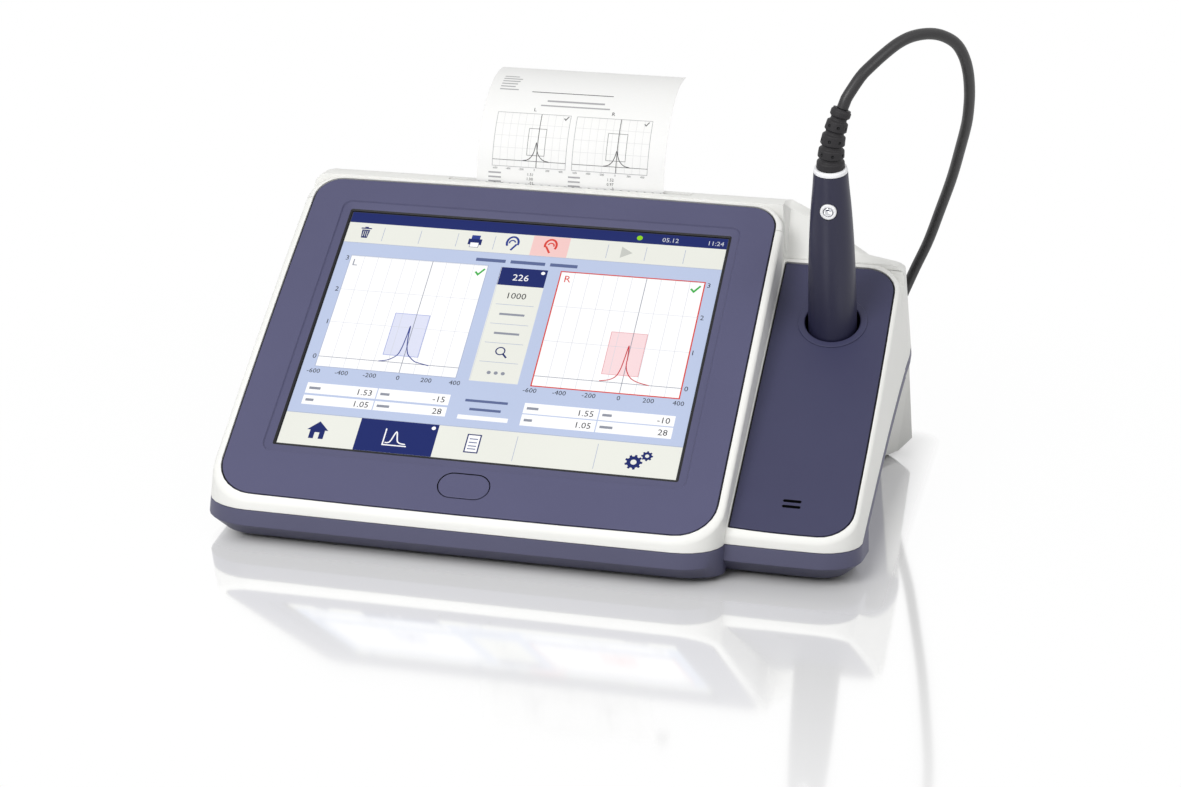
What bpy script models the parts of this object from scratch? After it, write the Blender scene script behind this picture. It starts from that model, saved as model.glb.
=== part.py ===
# A desktop tympanometer: a wedge case with a touch screen, a side module with
# a cradle that holds the hand probe, a strip printer behind the screen, and
# the probe's cable, coiled behind the case.
# Units are metres, +Z is up, and the case stands on Z = 0.
import bpy
import bmesh
from math import atan2, cos, hypot, pi, radians, sin, sqrt, tan
from mathutils import Vector

# Clearances and walls
gap = 0.0003
overrun = 0.005
wall = 0.0025
far = 0.3
merge_distance = 0.00002

# Screen and main panel, measured in the tilted plane of the panel
screen_width = 0.2112
screen_height = 0.1584
screen_foot_height = 0.0464
panel_tilt = radians(34.77)
bezel_side_border = 0.0241
bezel_low_border = 0.034
bezel_high_border = 0.0215
bezel_low_radius = 0.020
bezel_high_radius = 0.014
bezel_thickness = 0.0024
bezel_edge_round = 0.0006
rim_side_width = 0.0041
rim_end_width = 0.0031
rim_round = 0.0028
edge_bow = 0.0010
ledge_width = 0.004
ledge_thickness = 0.0028

# Side module, measured in the tilted plane of its own panel
side_tilt = radians(31.0)
side_front_y = -0.0099
side_front_height = 0.0268
side_panel_width = 0.0605
side_end_margin = 0.000424
side_panel_radius = 0.016
side_panel_inner_radius = 0.0008
side_panel_joint = 0.0007
side_panel_thickness = 0.0024
side_rim_width = 0.0024
side_rim_front = 0.0026
side_rim_rear = 0.005
side_overlap = 0.0130
side_inner_radius = 0.0125

# Case body
wall_draft = 0.115
band_foot_height = 0.0105
chamfer_inset = 0.009
foot_height = 0.003
parting_height = 0.0188
parting_start_y = 0.005
parting_rise = 0.055
parting_power = 1.5
seam_line_margin = 0.0063
seam_foot_back = 0.0219
rear_wall_height = 0.020
rear_lap = 0.0498
crest_step_lap = 0.0005
crest_step_run = 0.011
rear_crest_rise = 0.0004
rear_crest_back = 0.0010
side_crest_sink = 0.0010
side_crest_back = 0.0022
crest_slope = 0.03
rear_sink = 0.0085
rear_corner_across = 0.046
rear_corner_along = 0.070
crown_round = 0.007
hump_run = 0.052
hollow_step_share = 0.6
edge_shares = (0, 0.05, 0.14, 0.3, 0.55, 1)
corner_shares = (0.35, 0.55, 0.78, 1)
front_row_shares = (0, 0.5, 0.85, 1)
rear_row_shares = (0, 0.04, 0.11, 0.2, 0.3, 0.41, 0.52, 0.63, 0.73, 0.82, 0.9, 0.96, 1)
band_height = 0.0042
scoop_depth = 0.016
scoop_lean = 0.006
scoop_start_y = 0.008
scoop_full_y = 0.050
scoop_ease_length = 0.054
scoop_rear_margin = 0.028
scoop_rear_depth = 0.006
scoop_slope = 0.35

# Printer bay, door and paper
paper_width = 0.106
paper_centre_x = 0.011
paper_thickness = 0.00025
paper_back = 0.0072
paper_reach_back = 0.056
paper_rise = 0.0527
slot_front_gap = 0.0016
slot_rear_gap = 0.0012
door_side_margin = 0.0155
hinge_behind_well = 0.0042
hinge_to_rear = 0.0188
hinge_sink = 0.0056
hinge_barrel_radius = 0.0022
hinge_pin_radius = 0.0009
platen_radius = 0.007
platen_sink = 0.0128
roll_radius = 0.017
roll_back = 0.0050
roll_drop = 0.040
roll_clearance = 0.0015
well_wall = 0.0015

# Probe, measured along its own axis from the cradle's mouth
cradle_across = 0.0314
cradle_margin = 0.0405
cradle_bore_radius = 0.0145
cradle_ring_radius = 0.0183
probe_lean = radians(12.5)
probe_side_lean = radians(-1.2)
probe_length = 0.0874
probe_radius = 0.0128
probe_wall = 0.0018
cable_diameter = 0.006

round_steps = 32
small_steps = 16
corner_steps = 7
edge_steps = 4

main_half_width = screen_width / 2 + bezel_side_border
rim_half_width = main_half_width + rim_side_width
bezel_low = -bezel_low_border
bezel_high = screen_height + bezel_high_border
side_panel_left = rim_half_width + side_panel_joint
side_panel_right = side_panel_left + side_panel_width
side_wall_x = side_panel_right + side_rim_width
cradle_u = side_panel_left + cradle_across
main_slope = tan(panel_tilt)
side_slope = tan(side_tilt)

# The rear, stepped back from the panel's upper edge: the paper, its roll, the door's hinge, the rear wall
panel_rear_y = (bezel_high + rim_end_width) * cos(panel_tilt)
crest_step_y = panel_rear_y - crest_step_lap
seam_line_v = screen_height + seam_line_margin
side_panel_length = (panel_rear_y - side_front_y) / cos(side_tilt) - side_rim_rear - side_end_margin
cradle_along = side_panel_length - cradle_margin
rear_start_y = crest_step_y - rear_lap
paper_plane_y = crest_step_y + paper_back
rear_crest_y = paper_plane_y + rear_crest_back
side_crest_y = crest_step_y + side_crest_back
rear_crest_height = screen_foot_height + crest_step_y * main_slope + rear_crest_rise
side_crest_height = side_front_height + (crest_step_y - side_front_y) * side_slope - side_crest_sink
slot_front_y = paper_plane_y - slot_front_gap
door_front_y = paper_plane_y + slot_rear_gap
roll_centre_y = paper_plane_y + roll_back + roll_radius
well_rear_y = roll_centre_y + roll_radius + roll_clearance + well_wall
hinge_y = well_rear_y + hinge_behind_well
rear_depth = hinge_y + hinge_to_rear
seam_foot_y = crest_step_y + seam_foot_back
scoop_rear_y = rear_depth - scoop_rear_margin
scoop_ease_y = scoop_rear_y - scoop_ease_length
platen_height = rear_crest_height - platen_sink
roll_centre_height = platen_height - roll_drop
paper_top_height = rear_crest_height + paper_rise

# Plain finishes: colour, roughness and metallic share
white_plastic = ((0.87, 0.87, 0.85), 0.35, 0.0)
slate_plastic = ((0.105, 0.105, 0.185), 0.5, 0.0)
module_plastic = ((0.07, 0.07, 0.14), 0.5, 0.0)
probe_plastic = ((0.045, 0.045, 0.09), 0.5, 0.0)
black_rubber = ((0.024, 0.023, 0.024), 0.6, 0.0)
clear_glass = ((0.35, 0.45, 0.75), 0.1, 0.0)
circuit_green = ((0.03, 0.16, 0.06), 0.5, 0.0)
bright_steel = ((0.65, 0.65, 0.66), 0.3, 1.0)
dark_metal = ((0.18, 0.18, 0.2), 0.4, 1.0)
print_paper = ((0.9, 0.9, 0.89), 0.8, 0.0)
card_brown = ((0.45, 0.33, 0.2), 0.8, 0.0)
chrome_metal = ((0.8, 0.8, 0.82), 0.1, 1.0)


def main_plane(y):
    return screen_foot_height + y * main_slope


def side_plane(y):
    return side_front_height + (y - side_front_y) * side_slope


def ease(low, high, value):
    share = min(max((value - low) / (high - low), 0), 1)
    return share * share * (3 - 2 * share)


# Objects

def clear_scene():
    for item in list(bpy.data.objects):
        bpy.data.objects.remove(item, do_unlink=True)


def frame(name, location, rotation=(0, 0, 0), parent=None):
    item = bpy.data.objects.new(name, None)
    item.location = location
    item.rotation_euler = rotation
    item.parent = parent
    item.empty_display_size = overrun
    bpy.context.scene.collection.objects.link(item)
    return item


def link(name, mesh, finish, parent):
    item = bpy.data.objects.new(name, mesh)
    item.parent = parent
    bpy.context.scene.collection.objects.link(item)
    if finish is None:
        item.hide_render = True
        item.display_type = "WIRE"
        return item
    colour, roughness, metallic = finish
    material = bpy.data.materials.new(name)
    material.use_nodes = True
    shader = material.node_tree.nodes["Principled BSDF"]
    shader.inputs["Base Color"].default_value = (*colour, 1)
    shader.inputs["Roughness"].default_value = roughness
    shader.inputs["Metallic"].default_value = metallic
    mesh.materials.clear()
    mesh.materials.append(material)
    return item


def solid(name, points, faces, finish, parent, smooth=True):
    mesh = bpy.data.meshes.new(name)
    mesh.from_pydata([tuple(point) for point in points], [], faces)
    sheet = bmesh.new()
    sheet.from_mesh(mesh)
    bmesh.ops.recalc_face_normals(sheet, faces=sheet.faces)
    sheet.to_mesh(mesh)
    sheet.free()
    if smooth:
        mesh.shade_smooth()
        mesh.set_sharp_from_angle(angle=radians(35))
    return link(name, mesh, finish, parent)


def loft(name, rings, finish, parent, closed=False):
    count = len(rings[0])
    points = [point for ring in rings for point in ring]
    faces = []
    for row in range(len(rings) if closed else len(rings) - 1):
        low = row * count
        high = (row + 1) % len(rings) * count
        for spot in range(count):
            after = (spot + 1) % count
            faces.append((low + spot, low + after, high + after, high + spot))
    if not closed:
        faces.append(tuple(range(count - 1, -1, -1)))
        faces.append(tuple(range(len(points) - count, len(points))))
    return solid(name, points, faces, finish, parent)


def turned(name, profile, finish, parent, steps=round_steps, closed=False):
    rings = []
    for radius, height in profile:
        ring = []
        for step in range(steps):
            turn = 2 * pi * step / steps
            ring.append((radius * cos(turn), radius * sin(turn), height))
        rings.append(ring)
    return loft(name, rings, finish, parent, closed)


def tube(name, inner, outer, low, high, finish, parent, steps=round_steps):
    profile = ((inner, low), (outer, low), (outer, high), (inner, high))
    return turned(name, profile, finish, parent, steps, closed=True)


def rod(name, radius, low, high, finish, parent, steps=small_steps):
    return turned(name, ((radius, low), (radius, high)), finish, parent, steps)


def block(name, low, high, finish, parent, bevel=0):
    corners = [(x, y, z) for z in (low[2], high[2]) for x, y in
               ((low[0], low[1]), (high[0], low[1]), (high[0], high[1]), (low[0], high[1]))]
    faces = [(3, 2, 1, 0), (4, 5, 6, 7), (0, 1, 5, 4), (1, 2, 6, 5), (2, 3, 7, 6), (3, 0, 4, 7)]
    item = solid(name, corners, faces, finish, parent, smooth=False)
    if bevel:
        modifier = item.modifiers.new("edge", "BEVEL")
        modifier.width = bevel
        modifier.segments = 1
    return item


def prism(name, outline, low, high, finish, parent):
    rings = [[(x, y, z) for x, y in outline] for z in (low, high)]
    return loft(name, rings, finish, parent)


def side_prism(name, outline, finish, parent, left=-far, right=far):
    rings = [[(x, y, z) for y, z in outline] for x in (left, right)]
    return loft(name, rings, finish, parent)


def boolean(item, other, operation):
    modifier = item.modifiers.new(operation.lower(), "BOOLEAN")
    modifier.operation = operation
    modifier.solver = "EXACT"
    modifier.object = other
    other.hide_render = True
    other.display_type = "WIRE"


def cut(item, *others):
    for other in others:
        boolean(item, other, "DIFFERENCE")


def join(item, *others):
    for other in others:
        boolean(item, other, "UNION")


def settled(name, item, finish=None):
    # A new object with the shape that the item's modifiers give
    bpy.context.view_layer.update()
    whole = item.evaluated_get(bpy.context.evaluated_depsgraph_get())
    mesh = bpy.data.meshes.new_from_object(whole)
    mesh.name = name
    sheet = bmesh.new()
    sheet.from_mesh(mesh)
    bmesh.ops.remove_doubles(sheet, verts=sheet.verts, dist=merge_distance)
    bmesh.ops.dissolve_degenerate(sheet, edges=sheet.edges, dist=merge_distance)
    sheet.to_mesh(mesh)
    sheet.free()
    mesh.shade_smooth()
    mesh.set_sharp_from_angle(angle=radians(35))
    return link(name, mesh, finish, item.parent)


# Outlines in a panel's plane

def rounded(left, right, low, high, radii, bow=(0, 0, 0, 0)):
    # Counter-clockwise from the low left corner; radii and bows also go that way
    spots = ((left, low, 1, 1), (right, low, -1, 1), (right, high, -1, -1), (left, high, 1, -1))
    corners = []
    for number, (u, v, across, along) in enumerate(spots):
        radius = radii[number]
        start = pi + number * pi / 2
        arc = []
        for step in range(corner_steps + 1):
            turn = start + step * pi / 2 / corner_steps
            arc.append((u + across * radius + radius * cos(turn), v + along * radius + radius * sin(turn)))
        corners.append(arc)
    middle_u, middle_v = (left + right) / 2, (low + high) / 2
    half_u, half_v = (right - left) / 2, (high - low) / 2
    points = []
    for number, arc in enumerate(corners):
        points += arc
        after = corners[(number + 1) % 4][0]
        for step in range(1, edge_steps):
            share = step / edge_steps
            points.append((arc[-1][0] + (after[0] - arc[-1][0]) * share,
                           arc[-1][1] + (after[1] - arc[-1][1]) * share))
    bowed = []
    for u, v in points:
        across, along = (u - middle_u) / half_u, (v - middle_v) / half_v
        side = bow[1] if across > 0 else bow[3]
        end = bow[2] if along > 0 else bow[0]
        bowed.append((u + side * across * (1 - along ** 2), v + end * along * (1 - across ** 2)))
    return bowed


main_bow = (edge_bow, 0, edge_bow, edge_bow)
side_bow = (edge_bow, edge_bow, 0, 0)


def bezel_outline(grow=0):
    radii = (bezel_low_radius + grow,) * 2 + (bezel_high_radius + grow,) * 2
    return rounded(-main_half_width - grow, main_half_width + grow, bezel_low - grow, bezel_high + grow,
                   radii, main_bow)


def rim_outline():
    radii = (bezel_low_radius + rim_end_width,) * 2 + (bezel_high_radius + rim_end_width,) * 2
    return rounded(-rim_half_width, rim_half_width, bezel_low - rim_end_width, bezel_high + rim_end_width,
                   radii, main_bow)


def side_panel_outline(grow=0):
    inner = max(side_panel_inner_radius + grow, gap)
    radii = (inner,) + (side_panel_radius + grow,) * 2 + (inner,)
    return rounded(side_panel_left - grow, side_panel_right + grow, -grow, side_panel_length + grow,
                   radii, side_bow)


def side_rim_outline():
    radii = (side_inner_radius,) + (side_panel_radius + side_rim_width,) * 2 + (side_inner_radius,)
    return rounded(rim_half_width - side_overlap, side_wall_x, -side_rim_front,
                   side_panel_length + side_rim_rear, radii, side_bow)


# Case envelope

def plan_points(outline, tilt, origin_y, origin_height):
    return [(u, origin_y + v * cos(tilt), origin_height + v * sin(tilt)) for u, v in outline]


def plan_normals(points):
    normals = []
    for number, point in enumerate(points):
        before = points[number - 1]
        after = points[(number + 1) % len(points)]
        along = Vector((after[0] - before[0], after[1] - before[1])).normalized()
        normals.append((along.y, -along.x))
    return normals


def wall_ring(points, normals, sides, inset, level=None, drop=0, chamfer=0, slope=0):
    # One ring of a case wall: at a height, or at a drop below the panel, whose slope it keeps.
    # Sides tells whether the left and the right wall have draft and a chamfer.
    ring = []
    for (x, y, z), (across, along) in zip(points, normals):
        height = z - drop if level is None else level
        push = wall_draft * (z - height) - chamfer
        side = sides[1] if across > 0 else sides[0]
        shift = along * (push - inset)
        ring.append((x + across * (push * side - inset), y + shift, height + shift * slope))
    return ring


def wedge(name, outline, tilt, origin_y, origin_height, sides, parent):
    points = plan_points(outline, tilt, origin_y, origin_height)
    normals = plan_normals(points)
    rings = [wall_ring(points, normals, sides, 0, foot_height, chamfer=chamfer_inset),
             wall_ring(points, normals, sides, 0, band_foot_height)]
    for step in range(edge_steps + 1):
        turn = step * pi / 2 / edge_steps
        rings.append(wall_ring(points, normals, sides, rim_round * (1 - cos(turn)),
                               drop=rim_round * (1 - sin(turn)), slope=tan(tilt)))
    return loft(name, rings, None, parent)


def wedge_hollow(name, outline, tilt, origin_y, origin_height, thickness, sides, parent):
    points = plan_points(outline, tilt, origin_y, origin_height)
    normals = plan_normals(points)
    drop = (thickness + gap + ledge_thickness) / cos(tilt)
    rings = [wall_ring(points, normals, sides, wall, foot_height + wall, chamfer=chamfer_inset),
             wall_ring(points, normals, sides, wall, band_foot_height + wall),
             wall_ring(points, normals, sides, wall, drop=drop, slope=tan(tilt))]
    return loft(name, rings, None, parent)


def quarter_crest(y, start, high, inset):
    if y < start:
        return high - inset - (start - y) * crest_slope
    share = min((y - start) / (rear_depth - inset - start), 1)
    return rear_wall_height - inset + (high - rear_wall_height) * sqrt(1 - share * share)


def rear_height(x, y, inset=0):
    # Height of the rear hump's skin, or of a skin inset from it, over a point of the plan
    x += inset
    if y <= crest_step_y + inset * hollow_step_share:
        return (main_plane(y) if x < rim_half_width else side_plane(y)) - rear_sink - inset
    low = quarter_crest(y, side_crest_y, side_crest_height, inset)
    high = quarter_crest(y, rear_crest_y, rear_crest_height, inset)
    if x < rim_half_width:
        return high
    fade = 1 - ease(rim_half_width, rim_half_width + hump_run, x)
    return low + (high - low) * fade * ease(crest_step_y, crest_step_y + crest_step_run, y)


def hump(name, inset, bottom_inset, bottom, band_foot, parent):
    left = -rim_half_width + inset
    right = side_wall_x - inset
    across, along = rear_corner_across - inset, rear_corner_along - inset
    stations = [left + crown_round * share for share in edge_shares]
    stations += [left + crown_round + (across - crown_round) * share for share in corner_shares]
    first, last = left + across, rim_half_width - wall - inset
    middle_count = 5
    stations += [first + (last - first) * (step + 1) / middle_count for step in range(middle_count)]
    stations.append(rim_half_width + gap - inset)
    mirrored = [right - crown_round * share for share in edge_shares]
    mirrored += [right - crown_round - (across - crown_round) * share for share in corner_shares]
    stations += sorted(mirrored)
    step_y = crest_step_y + inset * hollow_step_share
    row_start = step_y + gap * 2
    grid = []
    plan = []
    for x in stations:
        edge = min(x - left, right - x)
        reach = rear_depth - inset
        if edge < across:
            share = 1 - edge / across
            reach -= along * (1 - sqrt(max(1 - share * share, 0)))
        rows = [rear_start_y + (step_y - rear_start_y) * share for share in front_row_shares]
        rows += [row_start + (reach - row_start) * share for share in rear_row_shares]
        column = []
        for y in rows:
            height = rear_height(x, y, inset)
            if edge < crown_round:
                fall = 1 - edge / crown_round
                height -= crown_round * (1 - sqrt(max(1 - fall * fall, 0)))
            plane = min(main_plane(y), rear_crest_height)
            if x > rim_half_width:
                plane = min(side_plane(y), side_crest_height)
            lean = max(1 - edge / across, 0) * wall_draft * (plane - height)
            column.append((x + lean if x > 0 else x - lean, y, height))
            plan.append((x, y))
        grid.append(column)
    rows = len(grid[0])
    points = [point for column in grid for point in column]
    faces = []
    for column in range(len(grid) - 1):
        for row in range(rows - 1):
            spot = column * rows + row
            faces.append((spot, spot + rows, spot + rows + 1, spot + 1))
    loop = [column * rows for column in range(len(grid))]
    loop += [(len(grid) - 1) * rows + row for row in range(1, rows)]
    loop += [column * rows + rows - 1 for column in range(len(grid) - 2, -1, -1)]
    loop += [row for row in range(rows - 2, 0, -1)]
    edge_points = [points[spot] for spot in loop]
    normals = plan_normals([plan[spot] for spot in loop])
    below = loop
    for level, extra in ((band_foot, 0), (bottom, bottom_inset)):
        ring = []
        for (x, y, z), (across, along) in zip(edge_points, normals):
            push = wall_draft * max(z - level, 0) - extra
            if y > rear_start_y + gap:
                y += along * push
            ring.append((x + across * push, y, level))
        start = len(points)
        points += ring
        ring_spots = list(range(start, start + len(ring)))
        for number in range(len(loop)):
            after = (number + 1) % len(loop)
            faces.append((below[number], ring_spots[number], ring_spots[after], below[after]))
        below = ring_spots
    faces.append(tuple(below))
    return solid(name, points, faces, None, parent)


def part_height(y):
    # Height of the parting line between the upper frame and the bottom shell
    share = (y - parting_start_y) / (seam_foot_y - parting_start_y)
    share = min(max(share, 0), 1)
    return parting_height + parting_rise * (1 - (1 - share) ** parting_power)


def scoop_top(y):
    if y <= seam_foot_y:
        return part_height(y) - band_height
    share = (y - seam_foot_y) / (scoop_rear_y - seam_foot_y)
    return foot_height + (part_height(y) - band_height - foot_height) * sqrt(max(1 - share * share, 0))


def scoop(name, side, grow, parent):
    # The finger recess under one long side, as a cutter
    rows = []
    count = 22
    for step in range(count + 1):
        y = scoop_start_y + (scoop_rear_y - scoop_start_y) * step / count
        top = scoop_top(y) + grow
        wall_x = side_wall_x + wall_draft * (side_plane(y) - top)
        if side < 0:
            wall_x = rim_half_width + wall_draft * (main_plane(y) - top)
        depth = (scoop_depth + overrun) * ease(scoop_start_y, scoop_full_y, y) - overrun
        depth -= (scoop_depth - scoop_rear_depth) * ease(scoop_ease_y, scoop_rear_y, y)
        depth += grow
        outer = wall_x + scoop_depth
        low = -overrun
        foot = wall_x - depth - scoop_lean * (top - low) / parting_rise
        rows.append([(side * outer, y, top + scoop_slope * scoop_depth),
                     (side * (wall_x - depth), y, top - scoop_slope * depth),
                     (side * foot, y, low), (side * outer, y, low)])
    return loft(name, rows, None, parent)


def seam_points(shift):
    # The line in side view along which the rear cover meets the front pieces
    along = Vector((sin(panel_tilt), -cos(panel_tilt)))
    start = Vector((seam_line_v * cos(panel_tilt), screen_foot_height + seam_line_v * sin(panel_tilt)))
    top = start - along * crown_round * 4
    bend = start + along * ((seam_foot_y - start.x) / along.x)
    return [(top.x + shift, top.y), (bend.x + shift, bend.y), (bend.x + shift, -overrun)]


def build_envelope(case):
    main_args = (rim_outline(), panel_tilt, 0, screen_foot_height)
    side_args = (side_rim_outline(), side_tilt, side_front_y, side_front_height)
    outer = wedge("main_wedge", *main_args, (1, 0), case)
    join(outer, wedge("side_wedge", *side_args, (0, 1), case),
         hump("rear_hump", 0, chamfer_inset, foot_height + gap, band_foot_height, case))
    cut(outer, scoop("left_scoop", -1, 0, case), scoop("right_scoop", 1, 0, case))
    inner = wedge_hollow("main_hollow", *main_args, bezel_thickness, (1, 0), case)
    join(inner, wedge_hollow("side_hollow", *side_args, side_panel_thickness, (0, 1), case),
         hump("rear_hollow", wall, chamfer_inset, foot_height + wall + gap, band_foot_height + wall, case))
    cut(inner, scoop("left_scoop_wall", -1, wall, case), scoop("right_scoop_wall", 1, wall, case))
    hollow = settled("case_hollow", inner)
    cut(outer, hollow)
    return settled("case_envelope", outer)


def pocket(name, outline_of, thickness, parent):
    # The recess that a panel drops into, and the opening inside its ledge
    seat = -thickness - gap
    levels = ((-ledge_width, seat - ledge_thickness - overrun), (-ledge_width, seat),
              (gap, seat), (gap, overrun))
    rings = [[(u, v, n) for u, v in outline_of(grow)] for grow, n in levels]
    return loft(name, rings, None, parent)


# Case pieces

def build_case(case, main, side):
    envelope = build_envelope(case)
    main_pocket = pocket("main_pocket", bezel_outline, bezel_thickness, main)
    side_pocket = pocket("side_pocket", side_panel_outline, side_panel_thickness, side)
    half = gap / 2
    front_line = seam_points(-half)
    rear_line = seam_points(half)
    behind = side_prism("behind_seam", [(far, front_line[0][1])] + front_line + [(far, -overrun)], None, case)
    ahead = side_prism("ahead_of_seam", [(-far, rear_line[0][1])] + rear_line + [(-far, -overrun)], None, case)
    steps = 12
    stations = [parting_start_y + (seam_foot_y - parting_start_y) * step / steps for step in range(steps + 1)]
    stations = [-far] + stations + [far]
    below = side_prism("below_parting", [(y, part_height(y) + half) for y in stations]
                       + [(far, -overrun), (-far, -overrun)], None, case)
    above = side_prism("above_parting", [(y, part_height(y) - half) for y in stations]
                       + [(far, far), (-far, far)], None, case)
    pieces = []
    for name, finish, cutters in (("upper_frame", white_plastic, (main_pocket, side_pocket, below, behind)),
                                  ("rear_cover", white_plastic, (main_pocket, side_pocket, ahead)),
                                  ("bottom_shell", slate_plastic, (above, behind))):
        shell = settled(name + "_shell", envelope)
        cut(shell, *cutters)
        pieces.append(settled(name, shell, finish))
    return pieces + [envelope]


foot_radius = 0.007
foot_recess = 0.001
foot_margin_left = 0.0288
foot_margin_right = 0.0314
foot_margin_rear_left = 0.0158
foot_margin_rear_right = 0.0214
foot_margin_rear = 0.034
foot_front_y = 0.022
foot_spots = (("front_left", foot_margin_left - rim_half_width, 0),
              ("front_right", side_wall_x - foot_margin_right, foot_front_y),
              ("rear_left", foot_margin_rear_left - rim_half_width, rear_depth - foot_margin_rear),
              ("rear_right", side_wall_x - foot_margin_rear_right, rear_depth - foot_margin_rear))


def build_feet(case, bottom, rear):
    for name, x, y in foot_spots:
        spot = frame("foot_place_" + name, (x, y, 0), parent=case)
        low = (foot_radius - foot_recess, 0)
        turned("foot_" + name, (low, (foot_radius, foot_recess), (foot_radius, foot_height + foot_recess - gap)),
               black_rubber, spot, small_steps)
        recess = rod("foot_recess_" + name, foot_radius + gap, -overrun, foot_height + foot_recess, None, spot)
        cut(rear if y > seam_foot_y else bottom, recess)


screw_head_radius = 0.0028
screw_head_height = 0.0016
screw_shank_radius = 0.0014
screw_length = 0.014
boss_radius = 0.0036
gusset_width = 0.0025
gusset_height = 0.008
screw_margin = 0.0067
screw_slot_share = 0.8
pillar_top_share = 0.5
screw_across = main_half_width - screw_margin
screw_along = -0.004


def build_screws(case, bottom, upper):
    for name, side in (("left", -1), ("right", 1)):
        spot = frame("screw_place_" + name, (side * screw_across, screw_along, foot_height), parent=case)
        profile = ((screw_head_radius, gap), (screw_head_radius, screw_head_height),
                   (screw_shank_radius, screw_head_height), (screw_shank_radius, screw_length))
        screw = turned("case_screw_" + name, profile, dark_metal, spot, small_steps)
        slot = block("screw_slot_" + name, (-screw_head_radius * screw_slot_share, -gap, -overrun),
                     (screw_head_radius * screw_slot_share, gap, gap * 3), None, spot)
        cut(screw, slot)
        cut(bottom, rod("screw_way_" + name, screw_shank_radius + gap, -overrun, overrun, None, spot),
            rod("screw_seat_" + name, screw_head_radius + gap, -overrun, screw_head_height + gap, None, spot))
        top = screen_foot_height - bezel_low_border * pillar_top_share - foot_height
        wall_side = side * (rim_half_width - gap - screw_across)
        pillar = rod("screw_pillar_" + name, boss_radius, wall + gap, top, None, spot)
        gusset = block("screw_gusset_" + name, (min(wall_side, 0), -gusset_width, top - gusset_height),
                       (max(wall_side, 0), gusset_width, top - gap), None, spot)
        join(upper, pillar, gusset)
        cut(upper, rod("screw_bore_" + name, screw_shank_radius + gap, 0, screw_length + gap, None, spot))


window_margin = 0.0003
window_slope = 0.0012
groove_left = 0.0058
groove_low = 0.0065
groove_high = 0.0059
groove_radius = 0.005
groove_depth = 0.0008
button_length = 0.027
button_width = 0.015
button_v = -0.0175
button_rise = 0.0001
button_flange = 0.0016
button_skirt = 0.0015
button_travel = 0.0008


def stadium(length, width, grow=0):
    half = (length - width) / 2
    radius = width / 2 + grow
    points = []
    for centre, start in ((half, -pi / 2), (-half, pi / 2)):
        for step in range(small_steps // 2 + 1):
            turn = start + step * pi / (small_steps // 2)
            points.append((centre + radius * cos(turn), radius * sin(turn)))
    return points


def build_bezel(main, button_place):
    def ring(outline, n):
        return [(u, v, n) for u, v in outline]
    half = screen_width / 2
    groove = rounded(-half - groove_left, half + groove_left, -groove_low, screen_height + groove_high,
                     (groove_radius,) * 4)
    window = [rounded(-half - grow, half + grow, -grow, screen_height + grow, (bezel_edge_round,) * 4)
              for grow in (window_margin + window_slope, window_margin)]
    rings = [ring(bezel_outline(), -bezel_thickness), ring(bezel_outline(), -bezel_edge_round),
             ring(bezel_outline(-bezel_edge_round / 3), -bezel_edge_round / 3),
             ring(bezel_outline(-bezel_edge_round), 0), ring(groove, 0),
             ring(groove, -groove_depth), ring(window[0], -groove_depth), ring(window[1], -bezel_thickness)]
    bezel = loft("main_bezel", rings, slate_plastic, main, closed=True)
    hole = prism("button_hole", stadium(button_length, button_width, gap), -overrun, overrun, None, button_place)
    cut(bezel, hole)


def build_power_button(button_place):
    top = button_rise
    low = -bezel_thickness - gap - button_flange
    rings = [[(x, y, z) for x, y in stadium(button_length, button_width, grow)] for grow, z in
             ((button_skirt, low), (button_skirt, low + button_flange), (0, low + button_flange),
              (0, top - bezel_edge_round / 2), (-bezel_edge_round / 2, top))]
    loft("power_button", rings, slate_plastic, button_place)
    return low


glass_overlap = 0.0055
glass_thickness = 0.0018
lcd_overlap = 0.0072
lcd_thickness = 0.0060
bracket_thickness = 0.0012
bracket_margin = 0.0080
bracket_post = 0.0055
bracket_post_radius = 0.0035
board_half_share = 0.36
board_low_share = 0.16
board_high_share = 0.82
board_thickness = 0.0016
chip_shares = ((0.3, 0.35, 0.16, 0.2), (0.62, 0.3, 0.12, 0.16), (0.4, 0.7, 0.3, 0.1), (0.8, 0.66, 0.1, 0.3))
chip_height = 0.0020
switch_width = 0.006


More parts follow.
